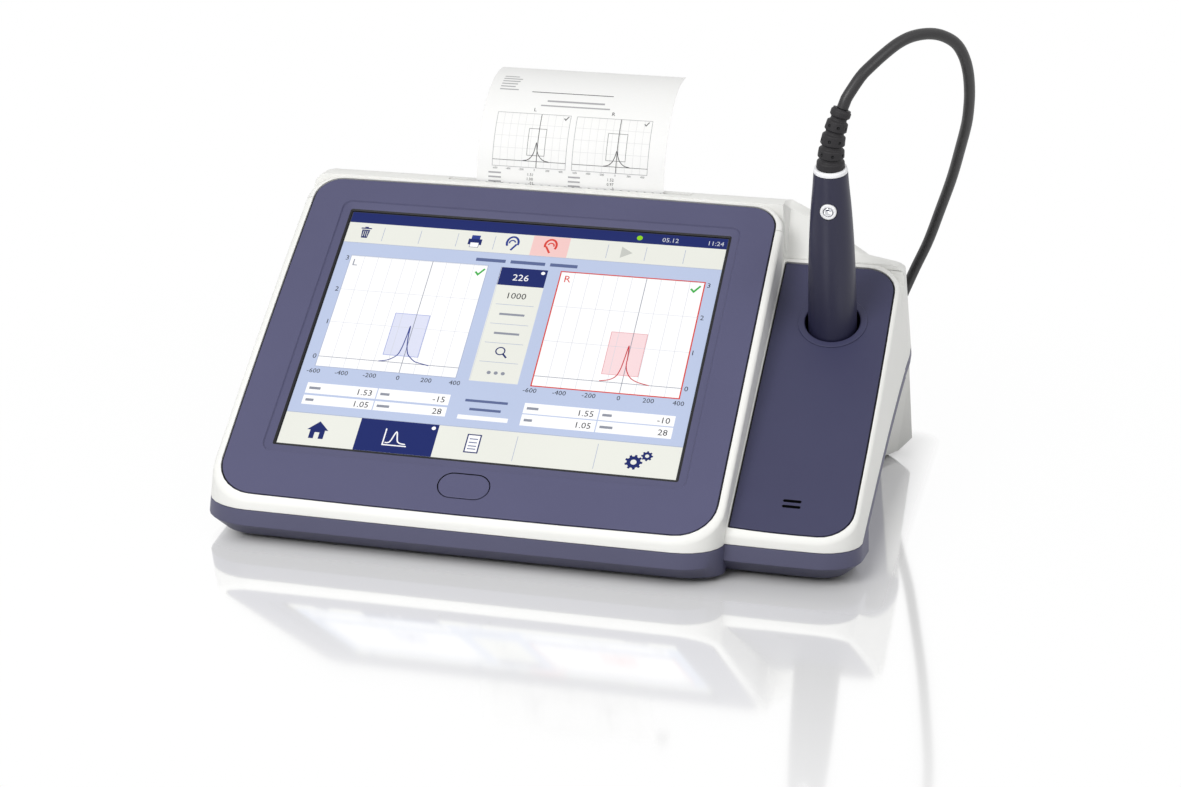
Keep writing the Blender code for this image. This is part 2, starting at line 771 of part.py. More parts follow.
def build_screen(main, button_low):
    half = screen_width / 2
    top = -bezel_thickness - gap
    low = top - glass_thickness
    block("touch_glass", (-half - glass_overlap, -glass_overlap, low),
          (half + glass_overlap, screen_height + glass_overlap, top), clear_glass, main, bezel_edge_round / 2)
    top = low - gap
    low = top - lcd_thickness
    block("lcd_module", (-half - lcd_overlap, -lcd_overlap, low),
          (half + lcd_overlap, screen_height + lcd_overlap, top), bright_steel, main, bezel_edge_round)
    top = low - gap
    low = top - bracket_thickness
    left = -main_half_width + ledge_width + bracket_margin
    bracket = block("display_bracket", (left, bezel_low + ledge_width + bracket_margin, low),
                    (-left, bezel_high - ledge_width - bracket_margin, top), bright_steel, main)
    board_half = screen_width * board_half_share
    board_low, board_high = screen_height * board_low_share, screen_height * board_high_share
    inset = bracket_post_radius * 1.5
    for side in (-1, 1):
        for v in (board_low + inset, board_high - inset):
            place = frame("post_place", (side * (board_half - inset), v, low), parent=main)
            post = rod("board_post", bracket_post_radius, -bracket_post, bracket_thickness / 2, None, place)
            join(bracket, post)
    board_top = low - bracket_post - gap
    board = block("main_board", (-board_half, board_low, board_top - board_thickness),
                  (board_half, board_high, board_top), circuit_green, main)
    board_length, board_width = board_half * 2, board_high - board_low
    for across, along, long_share, wide_share in chip_shares:
        u, v = -board_half + board_length * across, board_low + board_width * along
        half_u, half_v = board_length * long_share / 2, board_width * wide_share / 2
        join(board, block("board_chip", (u - half_u, v - half_v, board_top - board_thickness - chip_height),
                          (u + half_u, v + half_v, board_top - board_thickness / 2), None, main))
    switch_top = button_low - button_travel - gap
    switch = block("button_switch", (-switch_width, button_v - switch_width, top + gap),
                   (switch_width, button_v + switch_width, switch_top - switch_width / 4), dark_metal, main)
    place = frame("switch_place", (0, button_v, switch_top), parent=main)
    join(switch, rod("switch_plunger", switch_width / 3, -switch_width / 2, 0, None, place))


slot_length = 0.0093
slot_width = 0.0013
slot_pitch = 0.0035
slot_u = 0.0291
slot_v = 0.0162
ring_rise = 0.0006
ring_sleeve = 0.0017
speaker_radius = 0.014
speaker_depth = 0.007
speaker_shares = ((0.55, 1), (0.6, 0.5), (1, 0.3), (1, 0), (0.8, 0), (0.3, 0.4))


def build_side_panel(side):
    outline = side_panel_outline()
    rings = [[(u, v, n) for u, v in outline_here] for outline_here, n in
             ((outline, -side_panel_thickness), (outline, -bezel_edge_round),
              (side_panel_outline(-bezel_edge_round / 3), -bezel_edge_round / 3),
              (side_panel_outline(-bezel_edge_round), 0))]
    panel = loft("side_panel", rings, module_plastic, side)
    mouth = frame("cradle_place", (cradle_u, cradle_along, 0), parent=side)
    sleeve_radius = cradle_bore_radius + ring_sleeve
    cut(panel, rod("ring_hole", sleeve_radius + gap, -overrun, overrun, None, mouth, round_steps))
    u = side_panel_left + slot_u
    for number in range(2):
        v = slot_v + number * slot_pitch
        spot = frame("slot_place", (u, v, 0), parent=side)
        cut(panel, prism("speaker_slot", stadium(slot_length, slot_width), -overrun, overrun, None, spot))
    profile = ((cradle_bore_radius, -side_panel_thickness), (sleeve_radius, -side_panel_thickness),
               (sleeve_radius, gap), (cradle_ring_radius, gap),
               (cradle_ring_radius - ring_rise / 2, ring_rise), (cradle_bore_radius + ring_rise, ring_rise),
               (cradle_bore_radius, 0))
    turned("cradle_ring", profile, module_plastic, mouth, round_steps, closed=True)
    spot = frame("speaker_place", (u, slot_v + slot_pitch / 2, -side_panel_thickness - gap), parent=side)
    profile = [(speaker_radius * across, -speaker_depth * down) for across, down in speaker_shares]
    turned("loudspeaker", profile, dark_metal, spot, round_steps)
    return mouth


cup_depth = 0.057
cup_neck_depth = 0.030
cup_neck_length = 0.004
cup_low_radius = 0.0110
cup_wall = 0.0018
cup_clearance = 0.0004
cup_flange = 0.0205
cup_flange_thickness = 0.0015


def build_cradle_cup(side, mouth, probe):
    inner = cradle_bore_radius + cup_clearance
    neck = ((inner, far / 10), (inner, -cup_neck_depth), (cup_low_radius, -cup_neck_depth - cup_neck_length))
    outside = [(radius + cup_wall, height) for radius, height in neck]
    outside.append((cup_low_radius + cup_wall, -cup_depth - cup_wall))
    cup = turned("cradle_cup", outside, module_plastic, probe)
    seat = -side_panel_thickness - gap
    join(cup, rod("cup_flange", cup_flange, seat - cup_flange_thickness, overrun * 2, None, mouth, round_steps))
    bore = [(radius, height + overrun if height > 0 else height) for radius, height in neck]
    cut(cup, turned("cup_bore", bore + [(cup_low_radius, -cup_depth)], None, probe),
        rod("cup_trim", far / 5, seat, far / 5, None, mouth))


# Outer radius of the probe's handle along its length, both as shares
handle_shares = ((-0.34, 0.74), (-0.31, 0.87), (-0.26, 0.95), (-0.15, 0.99), (0.0, 1.0), (0.17, 0.985),
                 (0.34, 0.962), (0.50, 0.926), (0.66, 0.87), (0.80, 0.803), (0.91, 0.735), (1.0, 0.69))
# The nose the same way, from its tip up to the handle
nose_shares = ((0.22, 0.0), (0.3, 0.15), (0.52, 0.3), (0.6, 0.6), (0.86, 0.75), (0.98, 1.0))
nose_length = 0.023
nose_bore = 0.0010
collar_height = 0.0023
led_margin = 0.0179
led_height = probe_length - led_margin
led_ring_radius = 0.0042
led_ring_wall = 0.0015
led_ring_rise = 0.0005
led_depth = 0.0035
led_travel = 0.0005
# Radius and height of the collar's outside, then height and radius of the core, as shares
collar_shares = ((1, 0), (0.985, 0.6), (0.92, 1))
core_shares = ((-0.2, 1), (-0.12, 1), (-0.12, 0.64), (0.55, 0.64))
dish_shares = (0.8, 0.5)


def handle_radius(height):
    share = height / probe_length
    for (low, radius_low), (high, radius_high) in zip(handle_shares, handle_shares[1:]):
        if low <= share <= high:
            return probe_radius * (radius_low + (radius_high - radius_low) * (share - low) / (high - low))
    return probe_radius * handle_shares[-1][1]


def build_probe(probe, led_place):
    outer = [(probe_radius * radius, probe_length * height) for height, radius in handle_shares]
    inner = [(radius - probe_wall, height) for radius, height in reversed(outer[::3] + outer[-1:])]
    handle = turned("probe_handle", outer + inner, probe_plastic, probe, round_steps, closed=True)
    cut(handle, rod("led_hole", led_ring_radius + gap, -led_depth, overrun, None, led_place))
    tip_radius = outer[0][0]
    low = outer[0][1] - gap
    profile = [(tip_radius * radius, low - nose_length * (1 - height)) for radius, height in nose_shares]
    profile = [(nose_bore, profile[0][1])] + profile + [(nose_bore, profile[-1][1])]
    turned("probe_nose", profile, probe_plastic, probe, round_steps, closed=True)
    neck = outer[-1][0]
    low = probe_length + gap
    profile = [(neck * across, low + collar_height * up) for across, up in collar_shares]
    profile = [(neck - probe_wall, low)] + profile + [(neck - probe_wall, low + collar_height)]
    turned("probe_collar", profile, white_plastic, probe, round_steps, closed=True)
    core = []
    for share, across in core_shares:
        height = probe_length * share
        core.append(((handle_radius(height) - probe_wall - gap * 2) * across, height))
    turned("probe_core", core, circuit_green, probe, small_steps)
    profile = ((led_ring_radius - led_ring_wall, -led_depth + gap), (led_ring_radius, -led_depth + gap),
               (led_ring_radius, 0), (led_ring_radius - led_ring_rise, led_ring_rise),
               (led_ring_radius - led_ring_wall, led_ring_rise))
    turned("probe_button_ring", profile, white_plastic, led_place, small_steps * 2, closed=True)


def build_probe_button(led_place):
    radius = led_ring_radius - led_ring_wall - gap
    low = -led_depth + gap + led_travel
    profile = ((radius, low), (radius, led_ring_rise - gap * 2), (radius * dish_shares[0], led_ring_rise),
               (radius * dish_shares[1], led_ring_rise - gap))
    turned("probe_button", profile, chrome_metal, led_place, small_steps * 2)


relief_length = 0.0300
relief_bend = 0.0055
relief_back_share = 0.9
relief_base_radius = 0.0074
relief_tip_radius = 0.0048
relief_groove = 0.0013
relief_ribs = 5
relief_sides = 16
# Along one rib: where a ring stands, and whether it is in the groove
rib_shares = ((0, 0), (0.5, 0), (0.56, 1), (0.94, 1))
tangent_share = 0.02


def relief_point(share):
    # Centre line of the strain relief, in the probe's own frame
    height = probe_length + gap * 2 + collar_height + relief_length * share
    bend = relief_bend * share ** 2
    return Vector((bend, bend * relief_back_share, height))


def build_relief(probe):
    stops = []
    for rib in range(relief_ribs):
        base = rib / relief_ribs
        span = 1 / relief_ribs
        for share, groove in rib_shares:
            stops.append((base + span * share, groove))
    stops.append((1, 0))
    rings = []
    for share, groove in stops:
        centre = relief_point(share)
        along = (relief_point(share + tangent_share) - relief_point(share - tangent_share)).normalized()
        across = Vector((1, 0, 0)) - along * along.x
        across.normalize()
        up = along.cross(across)
        radius = relief_base_radius + (relief_tip_radius - relief_base_radius) * share - relief_groove * groove
        ring = []
        for step in range(relief_sides):
            turn = 2 * pi * step / relief_sides
            ring.append(centre + across * radius * cos(turn) + up * radius * sin(turn))
        rings.append(ring)
    loft("strain_relief", rings, black_rubber, probe)


# Printer

well_left_margin = 0.0100
well_front_margin = 0.0070
well_floor_margin = 0.0050
well_front_rise = 0.0005
well_flange = 0.012
well_flange_thickness = 0.002
spindle_radius = 0.0045
core_radius = 0.0050
core_wall = 0.0015
head_gap = 0.0007
head_thickness = 0.0040
head_low_reach = 0.0070
head_high_reach = 0.0052
bar_gap = 0.0006
bar_thickness = 0.0007
bar_height = 0.0063
bar_tooth = 0.0007
bar_teeth = 24
shaft_radius = 0.0020
shaft_end_gap = 0.0011
arm_width = 0.0028
arm_margin = 0.0020
arm_clearance = 0.0007
arm_drop = 0.0045
gear_margin = 0.0025
gear_width = 0.0033
gear_arm_gap = 0.0009
gear_module = 0.00075
tip_share = 0.9
root_share = 1.15
# Across one tooth: whether a point is at the tip, and where it stands in the pitch
tooth_shares = ((0, -0.24), (1, -0.10), (1, 0.10), (0, 0.24))
gear_teeth = 20
pinion_teeth = 10
gear_clearance = 0.0002
gear_angle = radians(-60)
motor_radius = 0.009
motor_length = 0.017
motor_shaft_radius = 0.001
motor_neck_share = 0.92
motor_boss_share = 0.4
door_rear_margin = 0.0008
barrel_clearance = 0.0014
pin_reach = 0.004
nip_drop = 0.0012
paper_steps = 14
feed_steps = 6
feed_ease_share = 0.85

paper_left = paper_centre_x - paper_width / 2
paper_right = paper_centre_x + paper_width / 2
door_left = paper_left - door_side_margin
door_right = paper_right + door_side_margin
gear_left = paper_right + gear_margin
gear_right = gear_left + gear_width
arm_right = gear_right + gear_arm_gap
well_left = paper_left - well_left_margin
well_right = arm_right + arm_width + arm_clearance
arm_left = well_left + arm_margin
shaft_left = well_left + shaft_end_gap
shaft_right = well_right - shaft_end_gap
platen_y = paper_plane_y + paper_thickness / 2 + gap + platen_radius
nip_height = platen_height - nip_drop
well_front_y = paper_plane_y - well_front_margin
well_front_height = platen_height + well_front_rise
well_floor_height = roll_centre_height - roll_radius - well_floor_margin - well_wall
head_rear_y = paper_plane_y - head_gap
head_front_y = head_rear_y - head_thickness
head_low = platen_height - head_low_reach
head_high = platen_height + head_high_reach
bar_rear_y = paper_plane_y - bar_gap
bar_front_y = bar_rear_y - bar_thickness
bar_high = rear_crest_height
bar_low = bar_high - bar_height
hinge_height = rear_height(0, hinge_y) - hinge_sink


def along_x(name, y, height, parent):
    # A frame whose own Z runs along world X
    return frame(name, (0, y, height), (0, pi / 2, 0), parent)


def skin_line(first, last, drop, count=9):
    points = []
    for step in range(count + 1):
        y = first + (last - first) * step / count
        points.append((y, rear_height(0, y, drop)))
    return points


def build_well(case):
    top = [(well_front_y, well_front_height), (head_front_y, well_front_height)]
    top += skin_line(head_front_y, well_rear_y, wall + gap * 2)
    shape = top + [(well_rear_y, well_floor_height), (well_front_y, well_floor_height)]
    left, right = well_left - well_wall, well_right + well_wall
    well = side_prism("printer_well", shape, white_plastic, case, left, right)
    first, last = well_front_y + well_flange, well_rear_y - well_flange
    flange = skin_line(first, last, wall + gap) + skin_line(last, first, wall + gap + well_flange_thickness)
    join(well, side_prism("well_flange", flange, None, case, left - well_flange, right + well_flange))
    bay = block("well_bay", (well_left, well_front_y + well_wall, well_floor_height + well_wall),
                (well_right, well_rear_y - well_wall, far), None, case)
    spindle_place = along_x("spindle_place", roll_centre_y, roll_centre_height, case)
    cut(well, bay, rod("spindle_hole", spindle_radius + gap, -far, far, None, spindle_place))
    rod("roll_spindle", spindle_radius, left, right, dark_metal, spindle_place)
    return well


def gear_outline(teeth, phase):
    pitch = 2 * pi / teeth
    radius = gear_module * teeth / 2
    tip, root = radius + gear_module * tip_share, radius - gear_module * root_share
    points = []
    for tooth in range(teeth):
        middle = phase + tooth * pitch
        for high, share in tooth_shares:
            reach = tip if high else root
            turn = middle + share * pitch
            points.append((reach * cos(turn), reach * sin(turn)))
    return points


def gear(name, teeth, phase, bore, parent):
    outline = gear_outline(teeth, phase)
    inner = []
    for x, y in outline:
        reach = hypot(x, y)
        inner.append((x / reach * bore, y / reach * bore))
    rings = [[(x, y, z) for x, y in points] for points, z in
             ((inner, gear_left), (outline, gear_left), (outline, gear_right), (inner, gear_right))]
    return loft(name, rings, white_plastic, parent, closed=True)


def build_feed(case, door, well):
    platen = frame("platen_axis", (0, platen_y, platen_height), (0, pi / 2, 0), case)
    rod("platen_shaft", shaft_radius, shaft_left, shaft_right, bright_steel, platen)
    bore = shaft_radius + gap
    left, right = paper_left - gap * 3, paper_right + gap * 3
    tube("platen_roller", bore, platen_radius, left, right, black_rubber, platen)
    distance = gear_module * (gear_teeth + pinion_teeth) / 2 + gear_clearance
    pinion_y = platen_y + distance * cos(gear_angle)
    pinion_height = platen_height + distance * sin(gear_angle)
    # In a frame whose Z is world X, the frame's X is world -Z and its Y is world Y
    toward = atan2(cos(gear_angle), -sin(gear_angle))
    gear("platen_gear", gear_teeth, toward, bore, platen)
    pinion = frame("pinion_axis", (0, pinion_y, pinion_height), (0, pi / 2, 0), case)
    small = gear("motor_pinion", pinion_teeth, toward + pi + pi / pinion_teeth, motor_shaft_radius / 2, pinion)
    wall_outside = well_right + well_wall
    join(small, rod("pinion_shaft", motor_shaft_radius, gear_left - gap, wall_outside + gap, None, pinion))
    cut(well, rod("motor_hole", motor_shaft_radius + gap, well_right - overrun, far, None, pinion))
    motor_left = wall_outside + gap * 2
    boss = motor_radius * motor_boss_share
    profile = ((motor_radius * motor_neck_share, motor_left), (motor_radius, motor_left + gap * 2),
               (motor_radius, motor_left + motor_length), (boss, motor_left + motor_length),
               (boss, motor_left + motor_length + gap * 4))
    turned("feed_motor", profile, dark_metal, pinion, small_steps)
    block("print_head", (left, head_front_y, head_low), (right, head_rear_y, head_high),
          dark_metal, case, gap * 2)
    shape = [(left, bar_low), (right, bar_low)]
    pitch = (right - left) / bar_teeth
    for tooth in range(bar_teeth):
        start = right - tooth * pitch
        shape += [(start, bar_high - bar_tooth), (start - pitch / 2, bar_high)]
    shape.append((left, bar_high - bar_tooth))
    rings = [[(x, y, z) for x, z in shape] for y in (bar_front_y, bar_rear_y)]
    loft("tear_bar", rings, bright_steel, case)


def ribbon(name, line, thickness, finish, parent):
    # A thin sheet across the paper's width that follows a line in side view
    left_side, right_side = [], []
    for number, (y, z) in enumerate(line):
        before, after = line[max(number - 1, 0)], line[min(number + 1, len(line) - 1)]
        along = Vector((after[0] - before[0], after[1] - before[1])).normalized()
        left_side.append((y - along.y * thickness / 2, z + along.x * thickness / 2))
        right_side.append((y + along.y * thickness / 2, z - along.x * thickness / 2))
    count = len(line)
    points = []
    for x in (paper_left, paper_right):
        points += [(x, y, z) for y, z in left_side]
        points += [(x, y, z) for y, z in right_side]
    faces = []
    for start in (0, 2 * count):
        for spot in range(count - 1):
            faces.append((start + spot, start + spot + 1, start + count + spot + 1, start + count + spot))
    for spot in range(count - 1):
        faces.append((spot, spot + 1, 2 * count + spot + 1, 2 * count + spot))
        faces.append((count + spot, count + spot + 1, 3 * count + spot + 1, 3 * count + spot))
    faces.append((0, count, 3 * count, 2 * count))
    faces.append((count - 1, 2 * count - 1, 4 * count - 1, 3 * count - 1))
    return solid(name, points, faces, finish, parent)


def build_paper(case):
    place = along_x("roll_axis", roll_centre_y, roll_centre_height, case)
    tube("roll_core", core_radius, core_radius + core_wall, paper_left, paper_right, card_brown, place)
    tube("paper_roll", core_radius + core_wall + gap, roll_radius, paper_left, paper_right, print_paper, place)
    start_y = roll_centre_y - roll_radius - gap * 2
    run = nip_height - gap - roll_centre_height
    feed = []
    for step in range(feed_steps + 1):
        share = step / feed_steps
        feed.append((start_y + (paper_plane_y - start_y) * ease(0, feed_ease_share, share),
                     roll_centre_height + run * share))
    ribbon("paper_feed", feed, paper_thickness, print_paper, case)
    rise = paper_top_height - rear_crest_height
    turn = 2 * atan2(paper_reach_back, rise)
    radius = paper_reach_back / (1 - cos(turn))
    line = [(paper_plane_y, nip_height)]
    for step in range(paper_steps + 1):
        angle = turn * step / paper_steps
        line.append((paper_plane_y + radius * (1 - cos(angle)), rear_crest_height + radius * sin(angle)))
    ribbon("paper_strip", line, paper_thickness, print_paper, case)


def build_door(case, rear, envelope):
    hinge = frame("door_axis", (0, hinge_y, hinge_height), (0, pi / 2, 0), case)
    door = settled("printer_door", envelope, white_plastic)
    rear_edge = hinge_y + door_rear_margin
    area = block("door_area", (door_left, door_front_y, hinge_height - hinge_barrel_radius),
                 (door_right, rear_edge, far), None, case)
    boolean(door, area, "INTERSECT")
    arm_foot = platen_height - arm_drop
    arm_shape = [(platen_y - shaft_radius * 2, arm_foot), (platen_y + shaft_radius * 2, arm_foot),
                 (platen_y + shaft_radius * 3, rear_crest_height - wall),
                 (door_front_y + shaft_radius, rear_crest_height - wall / 2)]
    for left in (arm_left, arm_right):
        join(door, side_prism("door_arm", arm_shape, None, case, left, left + arm_width))
    join(door, rod("hinge_barrel", hinge_barrel_radius, door_left, door_right, None, hinge))
    shaft_place = along_x("shaft_place", platen_y, platen_height, case)
    cut(door, rod("shaft_hole", shaft_radius + gap, -far, far, None, shaft_place),
        rod("pin_bore", hinge_pin_radius + gap, -far, far, None, hinge))
    opening = block("door_opening", (door_left - gap, slot_front_y, hinge_height - hinge_barrel_radius),
                    (door_right + gap, rear_edge + gap, far), None, case)
    barrel_room = rod("barrel_room", hinge_barrel_radius + barrel_clearance, door_left - gap, door_right + gap,
                      None, hinge)
    join(opening, barrel_room)
    lug_reach = pin_reach + gap * 3
    for low in (door_left - gap - lug_reach, door_right + gap):
        join(rear, rod("pin_lug", hinge_barrel_radius, low, low + lug_reach, None, hinge))
    cut(rear, opening, rod("pin_hole", hinge_pin_radius + gap, door_left - pin_reach - gap,
                           door_right + pin_reach + gap, None, hinge))
    rod("hinge_pin", hinge_pin_radius, door_left - pin_reach, door_right + pin_reach, bright_steel, hinge)
    return door


# Inside the case and on its rear wall

pump_margin = 0.0338
pump_left = pump_margin - rim_half_width
pump_front_y = 0.050
pump_length = 0.042
pump_width = 0.030
pump_height = 0.018
pump_motor_radius = 0.0105
pump_motor_share = 0.35
nozzle_radius = 0.0022
nozzle_length = 0.006
hose_radius = 0.0018
socket_margin = 0.0062
socket_x = rim_half_width + socket_margin
socket_height = 0.028
socket_radius = 0.0080
socket_bore = 0.0042
socket_depth = 0.011
socket_bore_share = 0.7
socket_step_share = 0.8
socket_flange_radius = 0.0098
socket_flange = 0.0009
jack_x = 0.062
jack_height = 0.024
jack_half = 0.0065
jack_bore = 0.0034
jack_bore_depth = 0.009
jack_depth = 0.013
usb_x = 0.030
usb_half_width = 0.0068
usb_half_height = 0.0040
usb_slot_half_width = 0.0054
usb_slot_half_height = 0.0023
usb_depth = 0.012
usb_slot_share = 0.7
# The air hose from the pump to the probe's socket, inside the case
hose_route = ((-0.0300, 0.0720, 0.0110), (0.0000, 0.0900, 0.0085),
              (0.0400, 0.1150, 0.0085), (0.0800, 0.1400, 0.0085), (0.1150, 0.1650, 0.0110))
hose_approach = ((0.0050, 0.0370, 0.0090), (0.0005, 0.0240, 0.0020))


def rear_place(name, x, height, case):
    # A frame on the rear wall whose own Z points out of the wall
    return frame(name, (x, rear_depth, height), (-pi / 2, 0, 0), case)


def build_inside(case, rear):
    floor = foot_height + wall + gap
    far_corner = (pump_left + pump_length, pump_front_y + pump_width, floor + pump_height)
    pump = block("pump_unit", (pump_left, pump_front_y, floor), far_corner, dark_metal, case, gap * 3)
    middle_y = pump_front_y + pump_width / 2
    motor_x = pump_left + pump_length * pump_motor_share
    place = frame("pump_motor_place", (motor_x, middle_y, floor + pump_height), parent=case)
    join(pump, rod("pump_motor", pump_motor_radius, -gap * 3, pump_motor_radius, None, place))
    nozzle = along_x("nozzle_place", middle_y, floor + pump_height / 2, case)
    join(pump, rod("pump_nozzle", nozzle_radius, pump_left + pump_length - gap * 3,
                   pump_left + pump_length + nozzle_length, None, nozzle))
    start = pump_left + pump_length + nozzle_length + gap
    stub = [(start + reach, middle_y, floor + pump_height / 2) for reach in (0, nozzle_length)]
    hose_end = (socket_x, rear_depth - socket_depth - hose_radius / 2, socket_height)
    approach = [(socket_x - side, rear_depth - back, socket_height - down)
                for side, back, down in hose_approach]
    tube_along("air_hose", (*stub, *hose_route, *approach, hose_end), hose_radius, 2, black_rubber, case)
    socket = rear_place("socket_place", socket_x, socket_height, case)
    profile = ((socket_bore, socket_flange), (socket_bore, -socket_depth * socket_bore_share),
               (hose_radius, -socket_depth * socket_step_share),
               (hose_radius, -socket_depth), (socket_radius, -socket_depth), (socket_radius, gap),
               (socket_flange_radius, gap), (socket_flange_radius, socket_flange))
    turned("probe_socket", profile, bright_steel, socket, round_steps, closed=True)
    cut(rear, rod("socket_hole", socket_radius + gap, -socket_depth - overrun, overrun, None,
                  socket, round_steps))
    jack = rear_place("jack_place", jack_x, jack_height, case)
    body = block("power_jack", (-jack_half, -jack_half, -jack_depth), (jack_half, jack_half, -gap),
                 black_rubber, jack)
    cut(body, rod("jack_bore", jack_bore, -jack_bore_depth, overrun, None, jack))
    usb = rear_place("usb_place", usb_x, jack_height, case)
    port = block("usb_port", (-usb_half_width, -usb_half_height, -usb_depth),
                 (usb_half_width, usb_half_height, -gap), bright_steel, usb)
    cut(port, block("usb_slot", (-usb_slot_half_width, -usb_slot_half_height, -usb_depth * usb_slot_share),
                    (usb_slot_half_width, usb_slot_half_height, overrun), None, usb))
    cut(rear, block("jack_hole", (-jack_half - gap, -jack_half - gap, -overrun),
                    (jack_half + gap, jack_half + gap, overrun), None, jack),
        block("usb_hole", (-usb_half_width - gap, -usb_half_height - gap, -overrun),
              (usb_half_width + gap, usb_half_height + gap, overrun), None, usb))
    return socket


# Cable

plug_pin_radius = 0.0037
plug_pin_length = 0.006
plug_body_radius = 0.0068
plug_body_length = 0.018
plug_taper_length = 0.012
plug_start = 0.0013
# The plug's taper: its start as a share of the body, its end as a share of the cable
plug_shares = (0.75, 1.3)
coil_centre = (0.075, 0.280)
coil_inner_radius = 0.0300
coil_step = 0.0068
coil_layer = 0.0066
coil_low = 0.0032
coil_turns = 3.5
coil_points = 24
crossing_share = 0.25
# The free stretch, from the strain relief over the arc and down to the coil
arc_route = ((0.1766, 0.0955, 0.2336), (0.1811, 0.1000, 0.2386), (0.1866, 0.1065, 0.2437),
             (0.1925, 0.1145, 0.2481), (0.1986, 0.1225, 0.2505), (0.2059, 0.1314, 0.2507),
             (0.2124, 0.1394, 0.2485), (0.2185, 0.1479, 0.2434), (0.2223, 0.1560, 0.2355),
             (0.2243, 0.1653, 0.2253), (0.2248, 0.1756, 0.2134), (0.2242, 0.1848, 0.2026),
             (0.2227, 0.1948, 0.1910), (0.2189, 0.2089, 0.1740), (0.2138, 0.2252, 0.1531),
             (0.2068, 0.2416, 0.1299), (0.2000, 0.2542, 0.1081), (0.1925, 0.2625, 0.0890),
             (0.1850, 0.2680, 0.0690), (0.1775, 0.2705, 0.0490), (0.1690, 0.2695, 0.0300),
             (0.1570, 0.2635, 0.0145), (0.1400, 0.2525, 0.0062), (0.1200, 0.2430, 0.0036),
             (0.1010, 0.2385, 0.0032))
# The tail, from the coil to the plug in the rear socket
tail_route = ((0.0980, 0.3215, 0.0094), (0.1150, 0.3142, 0.0062), (0.1285, 0.3010, 0.0045),
              (0.1360, 0.2860, 0.0100), (0.1390, 0.2740, 0.0200))


def spline(points, spacing):
    # A smooth curve through the points, as points at even spacing
    dense = []
    last = len(points) - 1
    for number in range(last):
        a, b = points[max(number - 1, 0)], points[number]
        c, d = points[number + 1], points[min(number + 2, last)]
        for step in range(12):
            t = step / 12
            dense.append(((b * 2) + (c - a) * t + (a * 2 - b * 5 + c * 4 - d) * t ** 2
                          + (b * 3 - a - c * 3 + d) * t ** 3) / 2)
    dense.append(points[-1])
    runs = [0]
    for before, after in zip(dense, dense[1:]):
        runs.append(runs[-1] + (after - before).length)
    count = max(round(runs[-1] / spacing), 2)
    even = []
    spot = 0
    for number in range(count + 1):
        run = runs[-1] * number / count
        while spot < len(runs) - 2 and runs[spot + 1] < run:
            spot += 1
        share = (run - runs[spot]) / (runs[spot + 1] - runs[spot])
        even.append(dense[spot].lerp(dense[spot + 1], min(share, 1)))
    return even


def tube_curve(name, points, radius, resolution, finish, parent):
    curve = bpy.data.curves.new(name, "CURVE")
    curve.dimensions = "3D"
    curve.bevel_depth = radius
    curve.bevel_resolution = resolution
    curve.use_fill_caps = True
    line = curve.splines.new("POLY")
    line.points.add(len(points) - 1)
    for spot, point in zip(line.points, points):
        spot.co = (*point, 1)
    item = link(name, curve, finish, parent)
    return item


def tube_along(name, route, radius, resolution, finish, parent, spacing_share=2.5):
    # The first and the last stretch stay straight
    route = [Vector(point) for point in route]
    points = [route[0]] + spline(route[1:-1], radius * 2 * spacing_share) + [route[-1]]
    tube_curve(name, points, radius, resolution, finish, parent)
    return points


def coil_line():
    # Two layers: the lower one winds inwards and the upper one outwards again
    count = round(coil_turns * coil_points)
    half_turns = coil_turns / 2
    points = []
    for step in range(count + 1):
        turns = coil_turns * step / count
        turn = -pi / 2 - 2 * pi * turns
        away = abs(turns - half_turns)
        radius = coil_inner_radius + coil_step * away
        lift = ease(half_turns - crossing_share, half_turns + crossing_share, turns)
        points.append(Vector((coil_centre[0] + radius * cos(turn), coil_centre[1] + radius * sin(turn),
                              coil_low + coil_layer * lift)))
    return points


def least_gap(points):
    least = far
    for number, point in enumerate(points):
        for other in points[number + coil_points // 2:]:
            least = min(least, (point - other).length - cable_diameter)
    return least


def build_cable(case, probe, socket):
    bpy.context.view_layer.update()
    into_case = case.matrix_world.inverted() @ probe.matrix_world
    tip = into_case @ relief_point(1)
    out = (tip - into_case @ relief_point(1 - tangent_share)).normalized()
    coil = coil_line()
    radius = cable_diameter / 2
    # Both ends of the coil run along X, at its front and at its rear
    along = Vector((1, 0, 0))
    coil = [coil[0] + along * cable_diameter] + coil + [coil[-1] + along * cable_diameter]
    print("least gap of the coil to itself, mm:", round(least_gap(coil[1:-1]) * 1000, 2))
    free = [tip + out * gap, tip + out * cable_diameter] + [Vector(point) for point in arc_route]
    free += [coil[0] + along * (cable_diameter + gap), coil[0] + along * gap]
    arc = tube_along("probe_cable", free, radius, 2, black_rubber, case)
    tube_curve("cable_coil", coil, radius, 1, black_rubber, case)
    plug_reach = plug_start + plug_body_length + plug_taper_length
    plug_end = Vector((socket_x, rear_depth + plug_reach + gap, socket_height))
    tail = [coil[-1] + along * gap, coil[-1] + along * (cable_diameter + gap)]
    tail += [Vector(point) for point in tail_route]
    tail += [plug_end + Vector((0, cable_diameter, 0)), plug_end]
    tail_points = tube_along("cable_tail", tail, radius, 2, black_rubber, case)
    step = plug_start + plug_body_length
    profile = ((plug_pin_radius, plug_start - plug_pin_length), (plug_pin_radius, plug_start),
               (plug_body_radius, plug_start), (plug_body_radius, step),
               (plug_body_radius * plug_shares[0], step), (radius * plug_shares[1], plug_reach))
    turned("cable_plug", profile, black_rubber, socket, small_steps * 2)
    total = 0
    for points in (arc, coil, tail_points):
        for before, after in zip(points, points[1:]):
            total += (after - before).length
    print("length of the cable, m:", round(total, 3))


